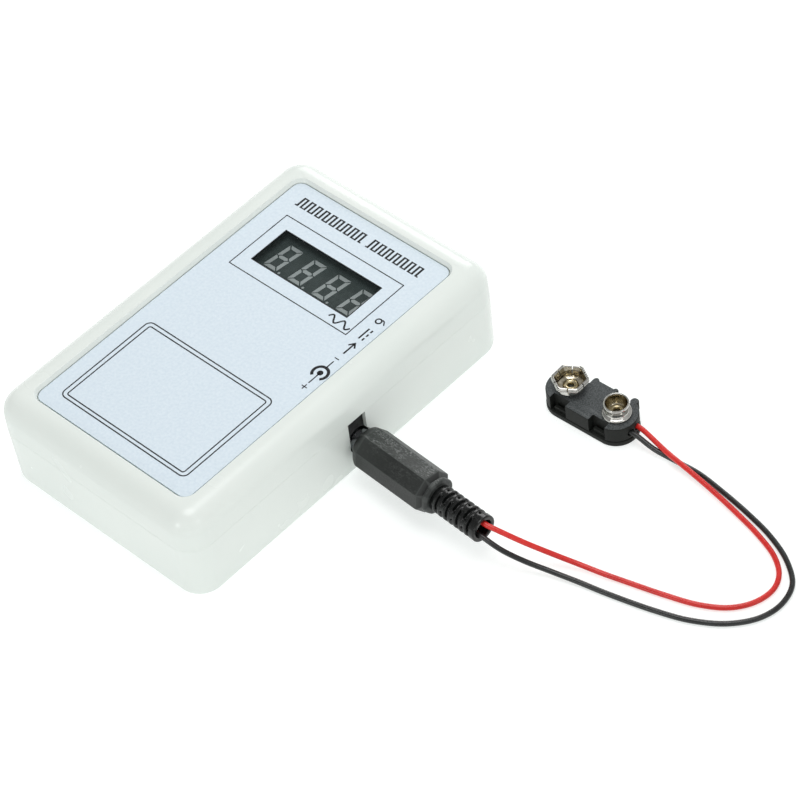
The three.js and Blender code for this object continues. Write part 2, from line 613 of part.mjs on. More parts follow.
addPiece('top_shell', makeTopShell(), 'ivory_plastic');
addPiece('bottom_shell', makeBottomShell(), 'ivory_plastic');
addPiece('front_label', makeFrontLabel(), 'label_film');
addPiece('display_filter', makeDisplayFilter(), 'smoked_window');
addPiece('display_housing', makeDisplayHousing(), 'display_black');
addPiece('display_pin_plate', makeDisplayPinPlate(), 'epoxy');
addPiece('main_board', makeMainBoard(), 'board_green');
addPiece('microcontroller', makeChip(-5, 6.5, 22.8, 6.4, 3.2, 9), 'chip_black');
addPiece('prescaler_chip', makeChip(13.5, -3.5, 9.6, 6.2, 3.0, 4), 'chip_black');
addPiece('amplifier_chip', makeChip(0, -5.0, 5.2, 4.0, 1.4, 4), 'chip_black');
addPiece('timing_crystal', makeCrystal(-18, -3.5), 'tin');
addPiece('voltage_regulator', makeRegulator(20.5, 10.5), 'chip_black');
addPiece('input_capacitor', makeCapacitor(21.5, 3.0), 'chip_black');
addPiece('output_capacitor', makeCapacitor(13.0, 6.0), 'chip_black');
for (let i = 0; i < 4; i += 1) {
  addPiece(`segment_resistor_${i + 1}`, makeResistor(-21, 12.5 - i * 3.2), 'resistor_tan');
}
addPiece('pickup_loop', makePickupLoop(), 'copper');
fourCorners.forEach(([sx, sy], i) => addPiece(`board_screw_${i + 1}`, makeBoardScrew(sx, sy), 'steel'));
fourCorners.forEach(([sx, sy], i) => addPiece(`case_screw_${i + 1}`, makeCaseScrew(sx, sy), 'steel'));

addPiece('supply_socket_housing', makeSocketHousing(), 'socket_black');
addPiece('supply_socket_pin', makeSocketPin(), 'tin');
addPiece('supply_socket_spring', makeSocketSpring(), 'brass');

addPiece('plug_body', makePlugBody(), 'plug_matte');
addPiece('plug_strain_relief', makeStrainRelief(), 'relief_gloss');
addPiece('plug_barrel', placeOnPlug(tubeAlongPlug(-BARREL_LENGTH, 4.5, BARREL_RADIUS, 2.3, 20)), 'tin');
addPiece('plug_insulator', placeOnPlug(tubeAlongPlug(-BARREL_LENGTH - 0.2, 4.5, 2.25, 1.65, 20)), 'chip_black');
addPiece('plug_inner_contact', placeOnPlug(tubeAlongPlug(-BARREL_LENGTH + 0.3, 4.5, 1.6, 1.3, 16)), 'brass');

addPiece('red_wire', roundCable(RED_ROUTE, WIRE_DIAMETER, 50), 'wire_red');
addPiece('black_wire', roundCable(BLACK_ROUTE, WIRE_DIAMETER, 50), 'wire_black');

addPiece('snap_base', makeSnapBase(), 'snap_black');
addPiece('snap_cover', makeSnapCover(), 'snap_black');
addPiece('snap_socket_contact', makeSocketContact(), 'nickel');
addPiece('snap_stud_contact', makeStudContact(), 'nickel');
addPiece('snap_socket_rivet', makeContactRivet(socketContactX, 0.5), 'brass');
addPiece('snap_stud_rivet', makeContactRivet(studContactX, 0.6), 'brass');

export default group;
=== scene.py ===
"""Looks of a hand-held frequency counter with a battery lead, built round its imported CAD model.

Everything is in metres, in the CAD model's frame: +X towards the supply socket, +Y towards the display end,
+Z up out of the front label, with the origin under the middle of the case.
"""
import json
import math

import bmesh
import bpy
from mathutils import Matrix, Vector


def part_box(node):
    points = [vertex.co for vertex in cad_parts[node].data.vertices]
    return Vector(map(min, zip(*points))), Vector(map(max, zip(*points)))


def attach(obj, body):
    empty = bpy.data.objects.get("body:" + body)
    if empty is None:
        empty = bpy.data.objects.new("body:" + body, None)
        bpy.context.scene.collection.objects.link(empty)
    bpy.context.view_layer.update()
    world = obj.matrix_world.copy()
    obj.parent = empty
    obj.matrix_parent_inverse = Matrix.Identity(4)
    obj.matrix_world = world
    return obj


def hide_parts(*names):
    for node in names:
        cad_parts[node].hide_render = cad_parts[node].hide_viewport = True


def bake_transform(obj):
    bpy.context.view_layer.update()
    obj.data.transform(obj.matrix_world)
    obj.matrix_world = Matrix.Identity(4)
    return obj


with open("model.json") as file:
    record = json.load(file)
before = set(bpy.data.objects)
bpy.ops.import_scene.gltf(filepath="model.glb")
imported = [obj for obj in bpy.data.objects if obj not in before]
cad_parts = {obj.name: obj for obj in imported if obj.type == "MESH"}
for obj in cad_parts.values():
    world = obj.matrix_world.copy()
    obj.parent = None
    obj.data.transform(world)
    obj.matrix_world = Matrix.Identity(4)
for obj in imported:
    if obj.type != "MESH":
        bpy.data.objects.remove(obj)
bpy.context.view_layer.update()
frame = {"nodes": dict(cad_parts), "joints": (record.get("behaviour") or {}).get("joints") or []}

# ---- driving dimensions

# camera
CAMERA_TARGET = Vector((0.039635, 0.006479, 0.02328))
CAMERA_DISTANCE = 0.6775
CAMERA_AZIMUTH = 49.59
CAMERA_ELEVATION = 47.72
CAMERA_ROLL = -8.843
CAMERA_LENS = 145.63
CAMERA_SENSOR = 36.0

# lights
LIGHTS_TARGET = Vector((0.03, 0.0, 0.0))
SKY_DARK_SIDE = Vector((-0.62, -0.12, 0.77))
SKY_PALE = 0.60
SKY_DARK = 0.33

# case
CASE_WIDTH = 0.0607
CASE_LENGTH = 0.0957
CASE_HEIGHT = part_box("top_shell")[1].z
CASE_CORNER = 0.0061
PARTING_Z = 0.0153
CASE_OUTLINE = (CASE_WIDTH, CASE_LENGTH, CASE_CORNER)
PARTING_GAP = 0.00001
PARTING_EDGE = 0.00006
TOP_ROUND = 0.0050
BASE_ROUND = 0.0015
WALL = 0.0020
CEILING = 0.003
DRAFT_SLOPE = math.tan(math.radians(1.4))
# the bottom shell's inner lip, and the rebate in the top shell that takes it
LIP_HEIGHT = 0.0012
LIP_INSET = 0.0012
REBATE_HEIGHT = 0.0014
REBATE_INSET = 0.00105
# the recess; the width of its sloped wall; the width and floor of the gap round the label
RECESS = (0.0471, 0.0823, 0.00245)
RECESS_FLOOR_Z = 0.02295
RECESS_SLOPE = 0.0005
RECESS_MOAT = (0.0005, 0.0223)
PANE_HOLE = (0.0340, 0.0152, 0.0003)
# case screws, up through posts of the bottom shell
CASE_SCREW_SPOTS = [(sx * 0.0242, sy * 0.0415) for sx in (1, -1) for sy in (1, -1)]
SCREW_POST_RADIUS = 0.0039
SCREW_HEAD_RADIUS = 0.0029
SCREW_HEAD_DEPTH = 0.005
SCREW_SHANK_RADIUS = 0.0017

# front label
LABEL = (0.0466, 0.0818, 0.0022)
LABEL_TOP_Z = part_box("front_label")[1].z
LABEL_EDGE = 0.00006
WINDOW_CENTRE = (-0.00026, 0.0223)
WINDOW = (0.0290, 0.0109, 0.0001)
WINDOW_LINE = 0.00016
INK_HEIGHT = 0.00002

# display
DISPLAY_LOW, DISPLAY_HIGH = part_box("display_housing")
DIGIT_PITCH = 0.00736
DIGIT_CENTRE = (-0.00007, 0.02267)
DIGIT_HEIGHT = 0.0079
DIGIT_WIDTH = 0.00395
DIGIT_SLANT = math.tan(math.radians(7.6))
SEGMENT_WIDTH = 0.00092
SEGMENT_GAP = 0.0002

# plug, whose own +X runs from its front face along the swivel's axis to the wires
SWIVEL = next(j for j in frame["joints"] if j["name"] == "plug_swivel")
PLUG_ROLL = math.radians(-8)
PLUG_RADIUS = 0.0048
PLUG_LENGTH = 0.0231
RELIEF_LENGTH = 0.0132
RELIEF_RADIUS = 0.0032
RELIEF_TURN = math.radians(37)
BARREL_RADIUS = 0.00275
BARREL_LENGTH = 0.0095

# slot and round hole in the socket side of the case
SLOT_Y = 0.00157
SLOT_WIDTH = 0.00525
SOCKET_Y = 0.0020
SOCKET_Z = 0.00776
SOCKET_RADIUS = 0.00325
SOCKET_WALL = (0.0250, 0.0400)

# battery snap, whose own +X runs from its free end to its wires
SNAP_CENTRE = Vector((0.0600, 0.0428, 0.0))
SNAP_TURN = math.radians(2)
SNAP_LENGTH = 0.0232
SNAP_WIDTH = 0.0102
SNAP_BASE_TOP = 0.0013
SNAP_TOP = 0.00525
CLIP_SPOTS = [(x, side) for x in (-0.0056, 0.0051) for side in (-1, 1)]
CONTACT_Z = SNAP_TOP + 0.00003
SOCKET_CONTACT_X = -0.00585
STUD_CONTACT_X = 0.00685

# wires
WIRE_DIAMETER = 0.0012
# height of a wire's centre where it lies on the floor
LAID_Z = 0.00065
# points along the middle of each wire, from the plug's strain relief to the battery snap
RED_ROUTE = [
    (0.0655, 0.0005, 0.0091), (0.06775, 0.0005, 0.0090), (0.0713, 0.0016, 0.0080),
    (0.0753, 0.0036, 0.0059), (0.0802, 0.0063, 0.0034), (0.0853, 0.0086, 0.0017),
    (0.0910, 0.0104, 0.0009), (0.0965, 0.0120, LAID_Z), (0.1040, 0.0140, LAID_Z),
    (0.1112, 0.0164, LAID_Z), (0.1167, 0.0198, LAID_Z), (0.1198, 0.0242, LAID_Z),
    (0.1206, 0.0288, LAID_Z), (0.1192, 0.0325, LAID_Z), (0.1155, 0.0357, LAID_Z),
    (0.1095, 0.0381, LAID_Z), (0.1023, 0.0399, 0.0008), (0.0946, 0.0412, 0.0014),
    (0.0874, 0.0421, 0.0020), (0.0804, 0.0430, 0.0023), (0.0724, 0.0443, 0.0030),
    (0.0702, 0.0443, 0.0030),
]
BLACK_ROUTE = [
    (0.0654, -0.0011, 0.0070), (0.06765, -0.0012, 0.0069), (0.0724, -0.0005, 0.0053),
    (0.0769, 0.0014, 0.0032), (0.0823, 0.0037, 0.0016), (0.0880, 0.0055, 0.00085),
    (0.0943, 0.0069, LAID_Z), (0.1050, 0.0096, LAID_Z), (0.1124, 0.0122, LAID_Z),
    (0.1188, 0.0162, LAID_Z), (0.1230, 0.0214, LAID_Z), (0.1243, 0.0268, LAID_Z),
    (0.1229, 0.0322, LAID_Z), (0.1182, 0.0364, LAID_Z), (0.1116, 0.0394, LAID_Z),
    (0.1042, 0.0413, LAID_Z), (0.0956, 0.0428, LAID_Z), (0.0886, 0.0436, LAID_Z),
    (0.0830, 0.0432, 0.0008), (0.0776, 0.0423, 0.0018), (0.07245, 0.0422, 0.0030),
    (0.0702, 0.0421, 0.0030),
]

# ---- places


def plug_place():
    """From the plug's own frame to the CAD frame."""
    axis = Vector(SWIVEL["axis"])
    yaw = math.atan2(axis.y, axis.x)
    turn = Matrix.Rotation(yaw, 4, "Z") @ Matrix.Rotation(PLUG_ROLL, 4, "X")
    return Matrix.Translation(SWIVEL["pos_m"]) @ turn


def snap_place(x=0.0, z=0.0):
    """From the frame of a piece at x along the battery snap to the CAD frame."""
    turn = Matrix.Rotation(SNAP_TURN, 4, "Z")
    return Matrix.Translation(SNAP_CENTRE) @ turn @ Matrix.Translation((x, 0, z))


# ---- camera


def make_camera():
    azimuth, elevation, roll = (math.radians(a) for a in (CAMERA_AZIMUTH, CAMERA_ELEVATION, CAMERA_ROLL))
    back = Vector((
        math.sin(azimuth) * math.cos(elevation),
        -math.cos(azimuth) * math.cos(elevation),
        math.sin(elevation),
    ))
    level_right = Vector((math.cos(azimuth), math.sin(azimuth), 0))
    level_up = back.cross(level_right)
    right = level_right * math.cos(roll) + level_up * math.sin(roll)
    up = level_up * math.cos(roll) - level_right * math.sin(roll)
    data = bpy.data.cameras.new("camera")
    data.lens = CAMERA_LENS
    data.sensor_width = CAMERA_SENSOR
    data.clip_start = 0.01
    data.clip_end = 20
    camera = bpy.data.objects.new("camera", data)
    bpy.context.scene.collection.objects.link(camera)
    turn = Matrix((right, up, back)).transposed().to_4x4()
    camera.matrix_world = Matrix.Translation(CAMERA_TARGET + back * CAMERA_DISTANCE) @ turn
    bpy.context.scene.camera = camera


# ---- mesh helpers


def loft(rings, wrap=False):
    """Corners and faces of a closed skin over rings that all have the same number of points."""
    count = len(rings[0])
    corners = [point for ring in rings for point in ring]
    spans = [(i, i + 1) for i in range(len(rings) - 1)]
    if wrap:
        spans.append((len(rings) - 1, 0))
    faces = []
    for a, b in spans:
        for k in range(count):
            n = (k + 1) % count
            faces.append((a * count + k, a * count + n, b * count + n, b * count + k))
    if not wrap:
        faces.append(tuple(range(count)))
        faces.append(tuple(range(len(corners) - count, len(corners))))
    return corners, faces


def join(*bodies):
    """One list of corners and one of faces for several bodies."""
    corners, faces = [], []
    for body_corners, body_faces in bodies:
        start = len(corners)
        corners.extend(body_corners)
        faces.extend(tuple(start + i for i in face) for face in body_faces)
    return corners, faces


def piece(name, body, material, sharp=30, place=None, even_normals=True):
    """A closed mesh object whose faces point outwards and whose edges above `sharp` degrees stay crisp."""
    corners, faces = body
    mesh = bpy.data.meshes.new(name)
    mesh.from_pydata([tuple(c) for c in corners], [], faces)
    work = bmesh.new()
    work.from_mesh(mesh)
    bmesh.ops.remove_doubles(work, verts=work.verts, dist=1e-7)
    bmesh.ops.recalc_face_normals(work, faces=work.faces)
    if place is not None:
        bmesh.ops.transform(work, matrix=place, verts=work.verts)
    work.to_mesh(mesh)
    work.free()
    finish_shading(mesh, sharp)
    obj = bpy.data.objects.new(name, mesh)
    bpy.context.scene.collection.objects.link(obj)
    mesh.materials.append(material)
    if even_normals:
        weigh_normals(obj)
    return obj


def finish_shading(mesh, sharp):
    mesh.shade_smooth()
    mesh.set_sharp_from_angle(angle=math.radians(sharp))


def weigh_normals(obj):
    """Large flat faces keep their own normal where they meet a rounded edge."""
    modifier = obj.modifiers.new("even_normals", "WEIGHTED_NORMAL")
    modifier.keep_sharp = True
    modifier.weight = 100


def combine(obj, bodies, operation, sharp, place):
    """Joins solids to obj or cuts them out. They have obj's own material, or obj would gain an empty slot."""
    tool = piece("tool", join(*bodies), obj.data.materials[0], place=place, even_normals=False)
    modifier = obj.modifiers.new("solid", "BOOLEAN")
    modifier.operation = operation
    modifier.solver = "MANIFOLD"
    modifier.object = tool
    bpy.context.view_layer.objects.active = obj
    bpy.ops.object.modifier_move_to_index(modifier="solid", index=0)
    bpy.ops.object.modifier_apply(modifier="solid")
    bpy.data.objects.remove(tool)
    finish_shading(obj.data, sharp)


def cut(obj, bodies, sharp=30, place=None):
    combine(obj, bodies, "DIFFERENCE", sharp, place)


def add(obj, bodies, place=None):
    combine(obj, bodies, "UNION", 30, place)


def rounded_ring(width, length, corner, z, steps=14, centre=(0.0, 0.0)):
    """Points of a rectangle with round corners, at height z."""
    points = []
    for quadrant, (sx, sy) in enumerate(((1, 1), (-1, 1), (-1, -1), (1, -1))):
        middle_x = centre[0] + sx * (width / 2 - corner)
        middle_y = centre[1] + sy * (length / 2 - corner)
        for i in range(steps + 1):
            angle = (quadrant + i / steps) * math.pi / 2
            points.append((middle_x + corner * math.cos(angle), middle_y + corner * math.sin(angle), z))
    return points


def inset_ring(size, inset, z, steps=14, centre=(0.0, 0.0)):
    width, length, corner = size
    return rounded_ring(width - 2 * inset, length - 2 * inset, max(corner - inset, 0.0001), z, steps, centre)


def stack(size, places, centre=(0.0, 0.0)):
    """Rings of one rounded outline at (inset, height) places."""
    return [inset_ring(size, inset, z, centre=centre) for inset, z in places]


def quarter(steps):
    """(inset, rise) shares of a rounded edge's radius, from its side to its flat."""
    turns = [math.pi / 2 * i / steps for i in range(steps + 1)]
    return [(1 - math.cos(turn), math.sin(turn)) for turn in turns]


def slab(size, z0, z1, edge, steps=14, edge_steps=3, centre=(0.0, 0.0)):
    """A plate with round corners and softened upper and lower edges."""
    places = [(edge * inset, z0 + edge * (1 - rise)) for inset, rise in quarter(edge_steps)[::-1]]
    places += [(edge * inset, z1 - edge * (1 - rise)) for inset, rise in quarter(edge_steps)]
    return loft([inset_ring(size, inset, z, steps, centre) for inset, z in places])


def bar(x0, x1, y0, y1, z0, z1, edge):
    """A block with softened edges."""
    size = (x1 - x0, y1 - y0, edge)
    return slab(size, z0, z1, edge, 2, 2, ((x0 + x1) / 2, (y0 + y1) / 2))


def full_turn(sides):
    return [2 * math.pi * k / sides for k in range(sides)]


def turned(profile, sides, wrap=False):
    """A body turned about Z from (radius, height) pairs; wrap joins the last pair to the first."""
    return loft([[(r * math.cos(a), r * math.sin(a), z) for a in full_turn(sides)] for r, z in profile], wrap)


def moved(body, x=0.0, y=0.0, z=0.0):
    corners, faces = body
    return [(c[0] + x, c[1] + y, c[2] + z) for c in corners], faces


def laid_along_x(body):
    """A body made upright about Z, laid so that its +Z points along +X."""
    corners, faces = body
    return [(c[2], c[0], c[1]) for c in corners], faces


# ---- material helpers


def srgb(*screen):
    """Linear colour of an eight-bit screen colour."""
    return tuple(v / 255 / 12.92 if v <= 10 else ((v / 255 + 0.055) / 1.055) ** 2.4 for v in screen)


class Surface:
    """A Principled material whose colour, roughness and relief come from nodes in object space."""

    def __init__(self, name, metallic=0.0, **constants):
        self.material = bpy.data.materials.new(name)
        self.material.use_nodes = True
        self.nodes = self.material.node_tree.nodes
        self.links = self.material.node_tree.links
        self.shader = self.nodes["Principled BSDF"]
        self.shader.inputs["Metallic"].default_value = metallic
        for socket, value in constants.items():
            self.shader.inputs[socket.replace("_", " ")].default_value = value
        self.place = self.nodes.new("ShaderNodeTexCoord").outputs["Object"]

    def link(self, output, target):
        self.links.new(output, target)
        return target

    def noise(self, scale, detail, stretch=(1, 1, 1), seed=0.0):
        """A noise value whose grain is about 1 / scale metres."""
        mapping = self.nodes.new("ShaderNodeMapping")
        mapping.inputs["Scale"].default_value = stretch
        mapping.inputs["Location"].default_value = (seed, seed, seed)
        self.link(self.place, mapping.inputs["Vector"])
        texture = self.nodes.new("ShaderNodeTexNoise")
        texture.inputs["Scale"].default_value = scale
        texture.inputs["Detail"].default_value = detail
        self.link(mapping.outputs["Vector"], texture.inputs["Vector"])
        return texture.outputs["Fac"]

    def cells(self, scale):
        """Distance to the nearest of irregularly spread points about 1 / scale metres apart."""
        texture = self.nodes.new("ShaderNodeTexVoronoi")
        texture.inputs["Scale"].default_value = scale
        self.link(self.place, texture.inputs["Vector"])
        return texture.outputs["Distance"]

    def spread(self, value, low, high, from_low=0.3, from_high=0.7):
        """The value's range mapped onto low to high."""
        node = self.nodes.new("ShaderNodeMapRange")
        node.inputs["From Min"].default_value = from_low
        node.inputs["From Max"].default_value = from_high
        node.inputs["To Min"].default_value = low
        node.inputs["To Max"].default_value = high
        self.link(value, node.inputs["Value"])
        return node.outputs["Result"]

    def blend(self, share, first, second):
        """A colour between two colours, each a tuple or a node's output."""
        node = self.nodes.new("ShaderNodeMix")
        node.data_type = "RGBA"
        self.link(share, node.inputs["Factor"])
        for socket, colour in ((node.inputs["A"], first), (node.inputs["B"], second)):
            if isinstance(colour, tuple):
                socket.default_value = (*colour, 1.0)
            else:
                self.link(colour, socket)
        return node.outputs["Result"]

    def tones(self, value, deep, light):
        """A colour between two eight-bit tones, over the middle of the value's range."""
        return self.blend(self.spread(value, 0, 1), srgb(*deep), srgb(*light))

    def colour(self, output):
        self.link(output, self.shader.inputs["Base Color"])

    def roughness(self, output):
        self.link(output, self.shader.inputs["Roughness"])

    def relief(self, height, distance, strength, under=None):
        """Bump from a height value; `under` is a coarser relief that it is laid over."""
        node = self.nodes.new("ShaderNodeBump")
        node.inputs["Strength"].default_value = strength
        node.inputs["Distance"].default_value = distance
        self.link(height, node.inputs["Height"])
        if under is not None:
            self.link(under, node.inputs["Normal"])
        self.link(node.outputs["Normal"], self.shader.inputs["Normal"])
        return node.outputs["Normal"]

    def upward(self):
        """One where the surface faces up in the object's own space, zero where it doesn't."""
        parts = self.nodes.new("ShaderNodeSeparateXYZ")
        self.link(self.nodes.new("ShaderNodeTexCoord").outputs["Normal"], parts.inputs["Vector"])
        return self.spread(parts.outputs["Z"], 0, 1, 0.75, 0.97)

    def above(self, low, high):
        """Zero below height low and one above height high, in the object's own space."""
        parts = self.nodes.new("ShaderNodeSeparateXYZ")
        self.link(self.place, parts.inputs["Vector"])
        return self.spread(parts.outputs["Z"], 0, 1, low, high)

    def both(self, first, second):
        """The product of two shares."""
        node = self.nodes.new("ShaderNodeMath")
        node.operation = "MULTIPLY"
        self.link(first, node.inputs[0])
        self.link(second, node.inputs[1])
        return node.outputs["Value"]

    def attribute(self, name):
        """The value that the mesh holds at each point under a name."""
        node = self.nodes.new("ShaderNodeAttribute")
        node.attribute_name = name
        return node.outputs["Fac"]


# ---- materials


def make_grained(name, colour, roughness, relief, **constants):
    """A material whose colour, roughness and bump each vary with a noise of their own.

    Each of the three gives its noise's scale and detail, and then a deep and a light tone, the roughness at
    either end, or the bump's distance and strength.
    """
    s = Surface(name, **constants)
    scale, detail, deep, light = colour
    s.colour(s.tones(s.noise(scale, detail), deep, light))
    scale, detail, low, high = roughness
    s.roughness(s.spread(s.noise(scale, detail), low, high))
    scale, detail, distance, strength = relief
    s.relief(s.noise(scale, detail), distance, strength)
    return s.material


def make_wire(name, deep, light):
    return make_grained(name, (260, 3, deep, light), (700, 3, 0.22, 0.36), (900, 2, 0.00003, 0.3))


def make_moulding(name, deep, light, smooth=0.4, rough=0.6):
    return make_grained(name, (800, 4, deep, light), (1500, 4, smooth, rough), (2600, 3, 0.00002, 0.4))


def make_metal(name, deep, light, smooth, rough):
    s = Surface(name, metallic=1.0)
    s.colour(s.tones(s.noise(700, 4), deep, light))
    s.roughness(s.spread(s.noise(1800, 4), smooth, rough))
    s.relief(s.noise(1500, 3, seed=1.0), 0.00003, 0.25)
    return s.material


def make_ivory_plastic():
    """Smooth glossy plastic with faint waves, a very fine grain and a few pale specks."""
    s = Surface("ivory_plastic")
    tone = s.tones(s.noise(40, 2), (231, 238, 233), (235, 241, 236))
    specks = s.spread(s.cells(420), 1, 0, 0.02, 0.045)
    rare = s.spread(s.noise(150, 1, seed=3.0), 0, 0.55, 0.66, 0.72)
    s.colour(s.blend(s.both(specks, rare), tone, srgb(186, 190, 176)))
    s.roughness(s.spread(s.noise(90, 2), 0.24, 0.28))
    waves = s.relief(s.noise(45, 0, seed=7.0), 0.00003, 0.1)
    s.relief(s.noise(1600, 1), 0.000002, 0.15, waves)
    return s.material


def make_plug_matte():
    """Grained black plastic whose upward faces are painted lighter, as painted light from above, with grey
    wear on top in patches and along the edges that the mesh marks.
    """
    s = Surface("plug_matte", Specular_IOR_Level=0.35)
    grain = s.noise(2600, 6)
    flecks = s.noise(3800, 6, stretch=(0.45, 1, 1), seed=2.0)
    patches = s.spread(s.noise(420, 3, stretch=(0.4, 1, 1), seed=5.0), 0.1, 1, 0.42, 0.62)
    side = s.tones(grain, (4, 5, 4), (13, 15, 14))
    # painted light: the upward faces take a lighter tone than the sides, as if lit from above
    top = s.tones(grain, (30, 34, 32), (52, 56, 54))
    # grey wear in patches, laid over the painted-light top tone
    lit_top_with_wear = s.blend(s.both(s.spread(flecks, 0, 0.9, 0.46, 0.66), patches), top, srgb(132, 136, 134))
    # upward faces show the painted-light top tone; the edges that the mesh marks show grey wear
    s.colour(s.blend(s.attribute("wear"), s.blend(s.upward(), side, lit_top_with_wear), srgb(88, 92, 90)))
    s.roughness(s.spread(grain, 0.34, 0.5))
    s.relief(grain, 0.00006, 0.6)
    return s.material


def make_snap_black():
    """Dull black plastic whose top face is painted lighter grey, as painted light from above, and scuffed."""
    s = Surface("snap_black", Specular_IOR_Level=0.2)
    grain = s.noise(3400, 6)
    scratches = s.noise(900, 4, stretch=(0.15, 1, 1), seed=4.0)
    side = s.tones(grain, (16, 18, 16), (32, 35, 32))
    # painted light: the top face takes a lighter tone than the sides, as if lit from above, with scuff marks
    # over it
    lit_scuffed_deck = s.tones(grain, (42, 46, 47), (98, 102, 103))
    lit_scuffed_deck = s.blend(s.spread(scratches, 0, 0.4, 0.55, 0.75), lit_scuffed_deck, srgb(116, 120, 121))
    # the upward faces at the cover's top, which take the painted light
    top = s.both(s.upward(), s.above(SNAP_TOP - 0.0005, SNAP_TOP - 0.0002))
    s.colour(s.blend(top, side, lit_scuffed_deck))
    s.roughness(s.spread(grain, 0.5, 0.66))
    s.relief(grain, 0.00003, 0.5)
    return s.material


# one material for each of the record's slots, by its name without the number that Blender may add
MATERIALS = {material.name.split(".")[0]: material for material in (
    make_ivory_plastic(),
    make_grained(
        "label_film", (1500, 4, (213, 227, 237), (224, 236, 244)), (900, 4, 0.34, 0.5),
        (3600, 2, 0.00001, 0.5),
    ),
    make_grained(
        "smoked_window", (300, 3, (30, 38, 37), (36, 44, 43)), (500, 4, 0.06, 0.14), (160, 2, 0.00002, 0.2),
        Alpha=0.2, IOR=1.49,
    ),
    make_grained(
        "display_black", (900, 4, (70, 84, 83), (82, 96, 95)), (1200, 3, 0.5, 0.65), (3000, 3, 0.00001, 0.4)
    ),
    make_moulding("epoxy", (196, 190, 170), (212, 206, 188)),
    make_moulding("board_green", (36, 98, 62), (52, 118, 78), 0.3, 0.5),
    make_moulding("chip_black", (26, 27, 29), (42, 43, 45)),
    make_metal("tin", (196, 199, 203), (214, 216, 219), 0.1, 0.3),
    make_metal("brass", (150, 138, 106), (204, 192, 160), 0.12, 0.3),
    make_metal("steel", (160, 164, 168), (186, 190, 193), 0.2, 0.4),
    make_moulding("resistor_tan", (190, 156, 108), (210, 178, 130)),
    make_metal("copper", (184, 104, 62), (208, 130, 84), 0.2, 0.4),
    make_moulding("socket_black", (10, 12, 11), (24, 27, 25)),
    make_plug_matte(),
    make_grained(
        "relief_gloss", (900, 4, (8, 9, 9), (20, 22, 21)), (1400, 4, 0.14, 0.3), (1300, 3, 0.00006, 0.35),
        Specular_IOR_Level=0.4,
    ),
    make_wire("wire_red", (206, 34, 30), (222, 48, 42)),
    make_wire("wire_black", (24, 25, 25), (38, 40, 40)),
    make_snap_black(),
    make_metal("nickel", (172, 171, 166), (210, 209, 204), 0.06, 0.2),
)}
# the label's print, the insides of the snap's contacts, and the unlit digits
INK = make_grained(
    "print_ink", (2500, 3, (12, 14, 18), (30, 33, 38)), (1200, 3, 0.4, 0.6), (5000, 2, 0.000005, 0.4),
    Specular_IOR_Level=0.3,
)
WARM_NICKEL = make_metal("warm_nickel", (140, 132, 112), (214, 207, 188), 0.08, 0.24)
SEGMENT_GREY = make_grained(
    "segment_grey", (2600, 4, (212, 224, 224), (222, 233, 232)), (1500, 3, 0.4, 0.55), (4200, 2, 0.00001, 0.3)
)


def dress_cad_nodes():
    """Every CAD node that stays visible takes its slot's procedural material."""
    for node in frame["nodes"].values():
        for slot in node.material_slots:
            slot.material = MATERIALS[slot.material.name.split(".")[0]]


def fit(obj, body, slot, *nodes):
    """The piece rides on a CAD body and stands for CAD nodes, which it hides. Its slot is not used."""
    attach(obj, body)
    if nodes:
        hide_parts(*nodes)
    return obj


def part(name, body, rides_on, slot, node, sharp=30, place=None, even_normals=True):
    """A piece with its slot's material that stands for one CAD node."""
    return fit(piece(name, body, MATERIALS[slot], sharp, place, even_normals), rides_on, slot, node)


# ---- wires


def smooth_route(points, spacing=0.0007):
    """Points close together on a centripetal Catmull-Rom curve through the given points."""
    points = [Vector(p) for p in points]
    ends = [points[0] * 2 - points[1], *points, points[-1] * 2 - points[-2]]
    route = []
    for a, b, c, d in zip(ends, ends[1:], ends[2:], ends[3:]):
        spans = ((a, b), (b, c), (c, d))
        knots = [0.0]
        for p, q in spans:
            knots.append(knots[-1] + math.sqrt((q - p).length))
        steps = max(1, round((c - b).length / spacing))
        for i in range(steps):
            t = knots[1] + (knots[2] - knots[1]) * i / steps
            one, two, three = (between(span, knots, k, k + 1, t) for k, span in enumerate(spans))
            sides = between((one, two), knots, 0, 2, t), between((two, three), knots, 1, 3, t)
            route.append(between(sides, knots, 1, 2, t))
    route.append(points[-1])
    return route


def between(pair, knots, i, j, t):
    """The place at t between a pair of points, which the curve would reach at knots i and j."""
    return pair[0] + (pair[1] - pair[0]) * ((t - knots[i]) / (knots[j] - knots[i]))


def tube(path, radius, sides=18):
    """A round tube along a path, with flat ends."""
    side = Vector((0, 0, 1))
    rings = []
    last = len(path) - 1
    for i, point in enumerate(path):
        along = (path[min(i + 1, last)] - path[max(i - 1, 0)]).normalized()
        side = (side - along * side.dot(along)).normalized()
        across = along.cross(side)
        rings.append([point + (side * math.cos(a) + across * math.sin(a)) * radius for a in full_turn(sides)])
    return loft(rings)


def make_wires():
    wires = []
    for name, route, slot in (("red_lead", RED_ROUTE, "wire_red"), ("black_lead", BLACK_ROUTE, "wire_black")):
        path = smooth_route(route)
        obj = piece(name, tube(path, WIRE_DIAMETER / 2), MATERIALS[slot], 60, even_normals=False)
        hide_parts(slot[5:] + "_wire")
        wires.append((obj, path))
    return wires


def declare_wires(wires, snap_pieces):
    for obj, path in wires:
        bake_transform(obj)


# ---- case


def draft_inset(z):
    """How far the case's wall has drawn in at height z, away from the parting line."""
    return abs(z - PARTING_Z) * DRAFT_SLOPE


